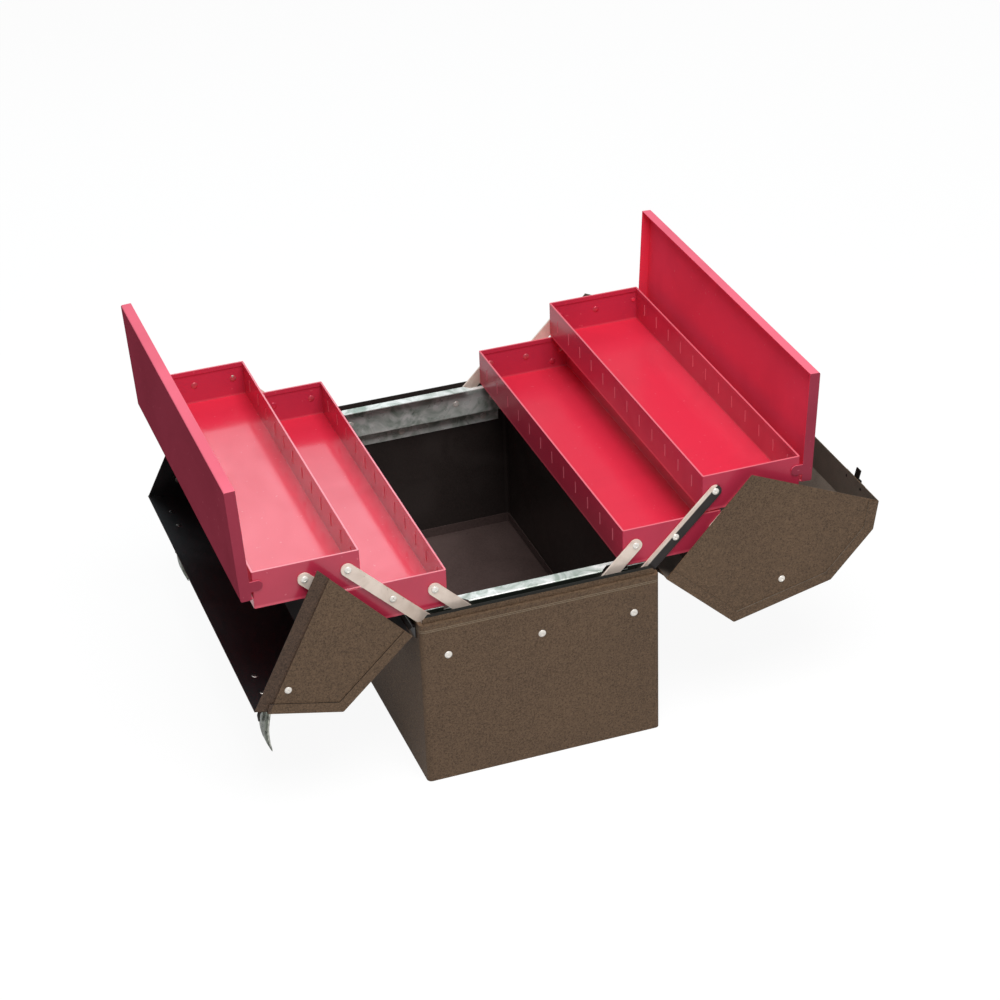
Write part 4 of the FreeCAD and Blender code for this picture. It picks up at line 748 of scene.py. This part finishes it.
def master_rivet(name, head, height, shank, depth, tail=0, tail_height=0, pit=0.34):
    """Head above the ground plane, shank below it down to the depth, tail outside that; radii in mm."""
    head, height, shank, depth = head * MM, height * MM, shank * MM, depth * MM
    tail, tail_height = tail * MM, tail_height * MM
    parts = [dome(head, height, pit), shaft(shank, -depth, 0.3 * height)]
    if tail:
        knob = dome(tail, tail_height, 0, rings=8)
        knob.data.transform(Matrix.Rotation(math.pi, 4, "X"))
        knob.data.transform(Matrix.Translation((0, 0, -depth)))
        parts.append(knob)
    master = join_pieces(parts, name)
    smooth(master)
    return master


def copy_to(master, spots, name):
    """One copy of the master for each matrix, joined into one piece."""
    copies = []
    for spot in spots:
        copy = master.copy()
        copy.data = master.data.copy()
        bpy.context.scene.collection.objects.link(copy)
        copy.data.transform(spot)
        copies.append(copy)
    return join_pieces(copies, name)


def place_rivets(master, spots, name, body, nodes, finish=RIVET_NICKEL):
    piece = copy_to(master, spots, name)
    settle(piece, finish, body, nodes)
    print(name, len(spots), "rivets")


def end_matrix(end, x, z, inward):
    """A rivet on an end face: its head points out of the box, the place is measured inward."""
    turn = Matrix.Rotation(math.pi / 2 * (1 if end < 0 else -1), 4, "X")
    return Matrix.Translation((x, end * (HALF_LENGTH - inward), z)) @ turn


WALL_RIVET_PITCH, WALL_RIVET_Z = 99 * MM, 148 * MM
WALL_RIVET = master_rivet("wall_rivet", head=4.0, height=1.5, shank=2.0, depth=2.0, tail=4.0,
                          tail_height=1.0)
spots = [end_matrix(end, k * WALL_RIVET_PITCH, WALL_RIVET_Z, 0)
         for end in (-1, 1) for k in (-1, 0, 1)]
place_rivets(WALL_RIVET, spots, "domed_wall_rivets", "base", ["base_wall_rivets"])

# %% [markdown]
# The pivot rivets pass through an arm and a tray wall or a channel web. The arms lean 45 degrees, so
# each pivot lies one arm step across and one arm step up from the last.

# %% Pivot rivets of the arms
HEAD_FACE, STANDOFF_FACE = 10.45 * MM, 9.3 * MM
PIVOT_RIVET = master_rivet("pivot_rivet", head=3.7, height=1.5, shank=2.5, depth=3.45, tail=3.7,
                           tail_height=1.0)
feet = [(s * x, FOOT_Z) for s in (-1, 1) for x in (FOOT_X, FOOT_X - ARM_STEP)]
spots = [end_matrix(end, x, z, HEAD_FACE) for end in (-1, 1) for x, z in feet]
place_rivets(PIVOT_RIVET, spots, "domed_base_pivots", "base", ["base_pivot_rivets"])
STANDOFF = master_rivet("strap_standoff", head=3.7, height=0.3, shank=3.6, depth=4.6, tail=3.7,
                        tail_height=1.0, pit=0)
STRAP_X, STRAP_Z = 180.97 * MM, 207.0 * MM
PIVOT_STEPS = {"lower": (1, (0, 1, 2)), "upper": (2, (2, 3))}
for s, side in SIDES:
    for level, (rise, steps) in PIVOT_STEPS.items():
        places = [(s * (FOOT_X + k * ARM_STEP), FOOT_Z + rise * ARM_STEP) for k in steps]
        spots = [end_matrix(end, x, z, HEAD_FACE) for end in (-1, 1) for x, z in places]
        place_rivets(PIVOT_RIVET, spots, "domed_%s_tray_pivots_%s" % (level, side),
                     "tray_%s_%s" % (level, side), ["%s_tray_rivets_%s" % (level, side)],
                     PAINTED_RIVET[level + side])
    spots = [end_matrix(end, s * STRAP_X, STRAP_Z, STANDOFF_FACE) for end in (-1, 1)]
    place_rivets(STANDOFF, spots, "strap_standoffs_" + side, "tray_lower_" + side, [],
                 PAINTED_RIVET["lower" + side])

# %% [markdown]
# A strap ties each end of a lid to the lower tray. One rivet holds it to the end panel of the lid,
# through a spacer, and a pin at its other end turns against the tray.

# %% Rivets of the lid straps
STRAP_RIVET = master_rivet("strap_rivet", head=3.7, height=1.5, shank=2.5, depth=8.0, tail=3.7,
                           tail_height=0.9)
STRAP_PIN = master_rivet("strap_pin", head=3.7, height=1.0, shank=2.5, depth=2.05, tail=3.7,
                         tail_height=1.0)
LID_RIVET_X, LID_RIVET_RISE, PIN_FACE = 62 * MM, 120.9 * MM, 5.55 * MM
for s, side in SIDES:
    spot = swing_open(s, LID_RIVET_X, HINGE_Z + LID_RIVET_RISE)
    spots = [end_matrix(end, spot.x, spot.z, GAUGE) for end in (-1, 1)]
    place_rivets(STRAP_RIVET, spots, "domed_strap_rivets_" + side, "lid_" + side,
                 ["strap_rivets_" + side], PAINTED_RIVET["lid" + side])
    spots = [end_matrix(end, s * STRAP_X, STRAP_Z, PIN_FACE) for end in (-1, 1)]
    place_rivets(STRAP_PIN, spots, "strap_pin_heads_" + side, "straps_" + side, ["strap_pins_" + side])

# %% [markdown]
# The latch plates, keepers and handle brackets are riveted through the sloping sheet. Their rivets
# stand square to it, so each place is given on the closed lid with the direction that it faces, and
# both are swung open together.

# %% Rivets of the latches, keepers and handle
LATCH_Y, RIVET_HALF_PITCH = 174.5 * MM, 16 * MM
PLATE_FACE, BRACKET_FACE = 1.4 * MM, 1.8 * MM
LATCH_ROW, KEEPER_ROW = 18.6 * MM, 5.33 * MM
BRACKET_Y, BRACKET_RIVET_X = 57.5 * MM, 10.2 * MM


def lid_matrix(side, x, z, y, facing):
    """A rivet on an open lid; facing is its direction on the closed lid, as (across, up)."""
    foot = swing_open(side, x, z, y)
    tip = swing_open(side, x + facing[0], z + facing[1], y)
    up = (tip - foot).normalized()
    across = Vector((0, 1, 0)).cross(up)
    turn = Matrix((across, (0, 1, 0), up)).transposed().to_4x4()
    return Matrix.Translation(foot) @ turn


def on_slope(along, out):
    """A place on the closed left slope: down from its upper edge, and out of its face."""
    return (SLOPE_END_X + along * math.cos(SLOPE) + out * math.sin(SLOPE),
            SLOPE_END_Z - along * math.sin(SLOPE) + out * math.cos(SLOPE))


SMALL_HEAD = {"head": 3.0, "height": 1.2, "shank": 1.7}
LATCH_RIVET = master_rivet("latch_rivet", **SMALL_HEAD, depth=2.3, tail=3.0, tail_height=1.0)
HANDLE_RIVET = master_rivet("handle_rivet", **SMALL_HEAD, depth=2.7, tail=3.0, tail_height=1.0)
KEEPER_RIVET = master_rivet("keeper_rivet", **SMALL_HEAD, depth=2.35)
rivet_rows = [k * LATCH_Y + m * RIVET_HALF_PITCH for k in (-1, 1) for m in (-1, 1)]
x, z = on_slope(LATCH_ROW, PLATE_FACE)
outward = (math.sin(SLOPE), math.cos(SLOPE))
spots = [lid_matrix(-1, x, z, y, outward) for y in rivet_rows]
place_rivets(LATCH_RIVET, spots, "domed_latch_rivets", "lid_left", ["latch_rivets"],
             PAINTED_RIVET["lidleft"])
x, z = on_slope(KEEPER_ROW, PLATE_FACE)
spots = [lid_matrix(1, -x, z, y, (-outward[0], outward[1])) for y in rivet_rows]
place_rivets(KEEPER_RIVET, spots, "domed_keeper_rivets", "lid_right", ["keeper_rivets"], DARK_STEEL)
spots = [lid_matrix(1, m * BRACKET_RIVET_X, LID_TOP + BRACKET_FACE, k * BRACKET_Y, (0, 1))
         for k in (-1, 1) for m in (-1, 1)]
place_rivets(HANDLE_RIVET, spots, "domed_handle_rivets", "lid_right", ["handle_rivets"],
             PAINTED_RIVET["lidright"])

# %% [markdown]
# The hasps hang from the free edge of the left lid. Each is a strip with a belly and a curled tip,
# stiffened by a rib down its middle and by turned edges, and a dark wire hook on its face. A grid has
# its edges drawn out, is bowed row by row, given its thickness and rounded. The hook is a round bar
# spun through a quarter turn.

# %% Hasps
HASP_PIVOT = Vector((-276.866 * MM, 0, 116.258 * MM))
HASP_LENGTH, HASP_WIDTH, HASP_SHEET = 68 * MM, 20 * MM, 1.6 * MM
HASP_ROWS, ROW_REACH, EDGE_Y = 20, 0.5 * MM, 9 * MM
BELLY, BELLY_TOP, BELLY_LENGTH = 3.7 * MM, 20 * MM, 46 * MM
CURL, CURL_TOP, CURL_LENGTH = 2.4 * MM, 52 * MM, 16 * MM
SWELL, SWELL_TOP, SWELL_LENGTH = 0.3, 10 * MM, 48 * MM
EDGE_DEPTH, EDGE_TOP, EDGE_LOSS = 4 * MM, 12 * MM, 3.4 * MM
RIB_HALF_WIDTH, RIB_TOP, RIB_FOOT, RIB_DEPTH = 2 * MM, 8 * MM, 54 * MM, 0.9 * MM
HOOK_RADIUS, HOOK_TOP, HOOK_BEND, HOOK_LEG = 1.5 * MM, 22 * MM, 5 * MM, 6.5 * MM


def hasp_bow(depth):
    """How far the strip bows at a depth below its pin: flat over the keeper, a belly, a curled tip."""
    belly = -BELLY * math.sin(math.pi * min(max(depth - BELLY_TOP, 0.0) / BELLY_LENGTH, 1.0))
    curl = CURL * max((depth - CURL_TOP) / CURL_LENGTH, 0.0) ** 1.4
    return belly + curl


def hasp_strip():
    clear_selection()
    bpy.ops.mesh.primitive_grid_add(x_subdivisions=6, y_subdivisions=HASP_ROWS, size=1,
                                    rotation=(math.pi / 2, 0, math.pi / 2))
    strip = bpy.context.object
    strip.scale = (HASP_WIDTH - 1 * MM, HASP_LENGTH, 1)
    strip.location = (0, 0, -HASP_LENGTH / 2)
    bpy.ops.object.transform_apply(location=True, rotation=True, scale=True)
    pick(strip, "VERT", lambda at: abs(at.y) > EDGE_Y and at.z < -EDGE_TOP)
    bpy.ops.mesh.extrude_region_move(TRANSFORM_OT_translate={"value": (EDGE_DEPTH, 0, 0)})
    leave_edit()
    for row in range(HASP_ROWS + 1):
        depth = HASP_LENGTH * row / HASP_ROWS
        pick(strip, "VERT", lambda at: abs(at.z + depth) < ROW_REACH)
        bpy.ops.transform.translate(value=(hasp_bow(depth), 0, 0))
        if depth > SWELL_TOP:
            swell = 1 + SWELL * math.sin(math.pi * min((depth - SWELL_TOP) / SWELL_LENGTH, 1.2))
            bpy.ops.transform.resize(value=(1, swell, 1))
        if depth > CURL_TOP:
            pick(strip, "VERT",
                 lambda at: abs(at.z + depth) < ROW_REACH and at.x > hasp_bow(depth) + EDGE_DEPTH / 2)
            loss = EDGE_LOSS * (depth - CURL_TOP) / CURL_LENGTH
            bpy.ops.transform.translate(value=(-loss, 0, 0))
    pick(strip, "VERT", lambda at: abs(at.y) < RIB_HALF_WIDTH and -RIB_FOOT < at.z < -RIB_TOP)
    bpy.ops.transform.translate(value=(-RIB_DEPTH, 0, 0))
    leave_edit()
    wall = strip.modifiers.new("sheet", "SOLIDIFY")
    wall.thickness = HASP_SHEET
    wall.offset = 0
    ease = strip.modifiers.new("ease", "SUBSURF")
    ease.levels = ease.render_levels = 2
    for modifier in ("sheet", "ease"):
        bpy.ops.object.modifier_apply(modifier=modifier)
    return strip


def hasp_hook():
    clear_selection()
    bpy.ops.mesh.primitive_circle_add(vertices=14, radius=HOOK_RADIUS, fill_type="NGON",
                                      rotation=(0, math.pi / 2, 0),
                                      location=(-HOOK_RADIUS, 0, -HOOK_TOP))
    bpy.ops.object.transform_apply(location=True, rotation=True, scale=True)
    hook = bpy.context.object
    edit_all()
    bpy.ops.mesh.spin(steps=8, angle=math.pi / 2, center=(-HOOK_RADIUS, 0, -HOOK_TOP - HOOK_BEND),
                      axis=(0, 1, 0))
    bpy.ops.mesh.extrude_region_move(TRANSFORM_OT_translate={"value": (0, 0, -HOOK_LEG)})
    bpy.ops.transform.resize(value=(0.6, 0.6, 1))
    close_rod()
    return hook


BARREL_RADIUS = 3.0 * MM
barrel = shaft(BARREL_RADIUS, -HASP_WIDTH / 2, HASP_WIDTH / 2)
barrel.data.transform(Matrix.Rotation(math.pi / 2, 4, "X"))
HOOK = hasp_hook()
HOOK.name = "hook_master"
smooth(HOOK, 50)
HASP = join_pieces([hasp_strip(), barrel], "hasp_master")
smooth(HASP, 50)
for k, end in ((-1, "front"), (1, "back")):
    spot = Matrix.Translation(HASP_PIVOT + Vector((0, k * LATCH_Y, 0)))
    piece = copy_to(HASP, [spot], "formed_hasp_" + end)
    settle(piece, HASP_NICKEL, "hasp_" + end, ["hasp_" + end])
    piece = copy_to(HOOK, [spot], "hasp_hook_" + end)
    settle(piece, DARK_STEEL, "hasp_" + end)
print("hasps", len(HASP.data.polygons), "faces each")

# %% [markdown]
# The handle is a bail of round rod that hangs from two brackets on the top of the right lid. A disc is
# drawn out along the straight runs and spun round the corners, as a wire is bent on a jig.

# %% Handle
ROD_RADIUS = 3.5 * MM
AXLE = Vector((346.692 * MM, 0, 154.884 * MM))
END_Y, LEG_Y, GRIP_DROP = 65.5 * MM, 46 * MM, 34 * MM
BEND = 7 * MM


def bail():
    clear_selection()
    bpy.ops.mesh.primitive_circle_add(vertices=28, radius=ROD_RADIUS, fill_type="NGON",
                                      rotation=(math.pi / 2, 0, 0), location=(AXLE.x, -END_Y, AXLE.z))
    bpy.ops.object.transform_apply(location=True, rotation=True, scale=True)
    rod = bpy.context.object
    edit_all()

    def draw_out(y, z):
        bpy.ops.mesh.extrude_region_move(TRANSFORM_OT_translate={"value": (0, y, z)})

    def bend(y, z, turn):
        bpy.ops.mesh.spin(steps=8, angle=turn * math.pi / 2, center=(AXLE.x, y, AXLE.z + z),
                          axis=(1, 0, 0))

    draw_out(END_Y - LEG_Y - BEND, 0)
    bend(-LEG_Y - BEND, -BEND, 1)
    draw_out(0, 2 * BEND - GRIP_DROP)
    bend(BEND - LEG_Y, BEND - GRIP_DROP, -1)
    draw_out(2 * (LEG_Y - BEND), 0)
    bend(LEG_Y - BEND, BEND - GRIP_DROP, -1)
    draw_out(0, GRIP_DROP - 2 * BEND)
    bend(LEG_Y + BEND, -BEND, 1)
    draw_out(END_Y - LEG_Y - BEND, 0)
    close_rod()
    rod.name = "round_bail"
    smooth(rod, 50)
    return rod


HANDLE = bail()
settle(HANDLE, LATCH_NICKEL, "handle", ["handle_bail"])
reach = [[corner.co[axis] / MM for corner in HANDLE.data.vertices] for axis in range(3)]
print("bail spans", [(round(min(span), 1), round(max(span), 1)) for span in reach])

# %% [markdown]
# The long walls of the trays are lanced for dividers. At each slot the cut steel is turned a little
# out of the wall, so that a divider can slip behind it, and these lips show as short pale dashes;
# their pale red is a painted highlight. One lip is a thin eased plate, turned in its slot, and copied
# along both walls of each tray.

# %% Divider lips
LIP_WIDTH, LIP_SHEET, LIP_HEIGHT, LIP_TURN = 2.6 * MM, 0.7 * MM, 13.6 * MM, math.radians(38)
SLOTS, SLOT_WIDTH, SLOT_MARGIN, SLOT_RISE = 12, 1.4 * MM, 26 * MM, 21 * MM
TRAY_SHORTER = 13 * MM
clear_selection()
bpy.ops.mesh.primitive_cube_add(size=1)
LIP = bpy.context.object
LIP.scale = (LIP_SHEET, LIP_WIDTH, LIP_HEIGHT)
LIP.rotation_euler = (0, 0, LIP_TURN)
bpy.ops.object.transform_apply(location=True, rotation=True, scale=True)
edit_all()
bpy.ops.mesh.bevel(offset=0.25 * MM, segments=1, affect="EDGES")
leave_edit()
LIP.name = "lip_master"
LIP_MIDDLE = GAUGE + SLOT_RISE
FIRST_SLOT = -(HALF_LENGTH - TRAY_SHORTER) + SLOT_MARGIN + SLOT_WIDTH / 2
SLOT_PITCH = 2 * -FIRST_SLOT / (SLOTS - 1)
for s, side in SIDES:
    for level, near in TRAY_NEAR.items():
        walls = (near + GAUGE / 2, near + TRAY_WIDTH - GAUGE / 2)
        height = TRAY_FOOT[level] + LIP_MIDDLE
        spots = [Matrix.Translation((s * wall, FIRST_SLOT + k * SLOT_PITCH, height))
                 for wall in walls for k in range(SLOTS)]
        piece = copy_to(LIP, spots, "divider_lips_%s_%s" % (level, side))
        settle(piece, HIGHLIT_LIP_ENAMEL, "tray_%s_%s" % (level, side))
print("lips at a pitch of", round(SLOT_PITCH / MM, 2), "mm")

# %% [markdown]
# The masters were only patterns to copy, so they leave the scene again.

# %% Remove the masters
for master in (WALL_RIVET, PIVOT_RIVET, STANDOFF, STRAP_RIVET, STRAP_PIN, LATCH_RIVET, HANDLE_RIVET,
               KEEPER_RIVET, HASP, HOOK, LIP):
    bpy.data.objects.remove(master)

# %% [markdown]
# A plain pale floor carries the box. Part of its light is its own, mixed in mostly for camera
# rays and a little for mirror rays, so that it looks white and still keeps the soft shadow.

# %% Floor
FLOOR_SIZE, FLOOR_GREY, GLOW = 30, 0.66, 1.08
CAMERA_SHARE, MIRROR_SHARE = 0.86, 0.3
clear_selection()
bpy.ops.mesh.primitive_plane_add(size=FLOOR_SIZE)
floor = bpy.context.object
floor.name = "studio_floor"
pale, tree, shader, place = new_material("pale_floor", Roughness=0.9)
shader.inputs["Base Color"].default_value = (FLOOR_GREY, FLOOR_GREY, FLOOR_GREY, 1)
seen = add_node(tree, "ShaderNodeLightPath", (600, 400))
mirrored = math_node(tree, (800, 500), "MULTIPLY", seen.outputs["Is Glossy Ray"], MIRROR_SHARE)
share = math_node(tree, (960, 400), "MULTIPLY_ADD", seen.outputs["Is Camera Ray"], CAMERA_SHARE,
                  mirrored)
glow = add_node(tree, "ShaderNodeEmission", (1000, 250))
glow.inputs["Strength"].default_value = GLOW
blend = add_node(tree, "ShaderNodeMixShader", (1150, 100))
for index, content in ((0, share), (1, shader.outputs[0]), (2, glow.outputs[0])):
    feed(tree, blend.inputs[index], content)
out = next(node for node in tree.nodes if node.type == "OUTPUT_MATERIAL")
tree.links.new(blend.outputs[0], out.inputs["Surface"])
floor.data.materials.append(pale)
print("floor", floor.name)

# %% [markdown]
# Soft studio light. A wide lamp hangs above and in front. A second panel, a little cool like a
# window, stands behind the box, and the tray floors on the left and the zinc ledges mirror it toward
# the camera. The world fills in from all round and is brighter to the camera, so that the background
# stays white. A lamp's level is the brightness of its face.

# %% Lights and world
FILL, BACKGROUND = 0.3, 0.98
COOL = (0.8, 1.02, 1.1)


def soft_panel(name, place, aim, width, height, level, tint=(1, 1, 1)):
    data = bpy.data.lights.new(name, "AREA")
    data.shape = "RECTANGLE"
    data.size = width
    data.size_y = height
    data.energy = level * math.pi * width * height
    data.color = tint
    lamp = bpy.data.objects.new(name, data)
    bpy.context.scene.collection.objects.link(lamp)
    lamp.location = place
    lamp.rotation_euler = (Vector(aim) - Vector(place)).to_track_quat("-Z", "Y").to_euler()
    print(name, "power", round(data.energy, 1))


soft_panel("overhead", (-0.02, -1.15, 2.6), aim=(0, 0, 0.15), width=1.6, height=1.6, level=7.6)
soft_panel("back_panel", (-0.3, 2.2, 2.0), aim=(-0.3, 0, 2.0), width=1.9, height=1.24, level=2.3,
           tint=COOL)
world = bpy.data.worlds.new("studio")
bpy.context.scene.world = world
world.use_nodes = True
sky = world.node_tree.nodes["Background"]
sky.inputs["Color"].default_value = (1, 1, 1, 1)
seen = add_node(world.node_tree, "ShaderNodeLightPath", (-400, 0))
level = math_node(world.node_tree, (-200, 0), "MULTIPLY_ADD", seen.outputs["Is Camera Ray"],
                  BACKGROUND - FILL, FILL)
feed(world.node_tree, sky.inputs["Strength"], level)
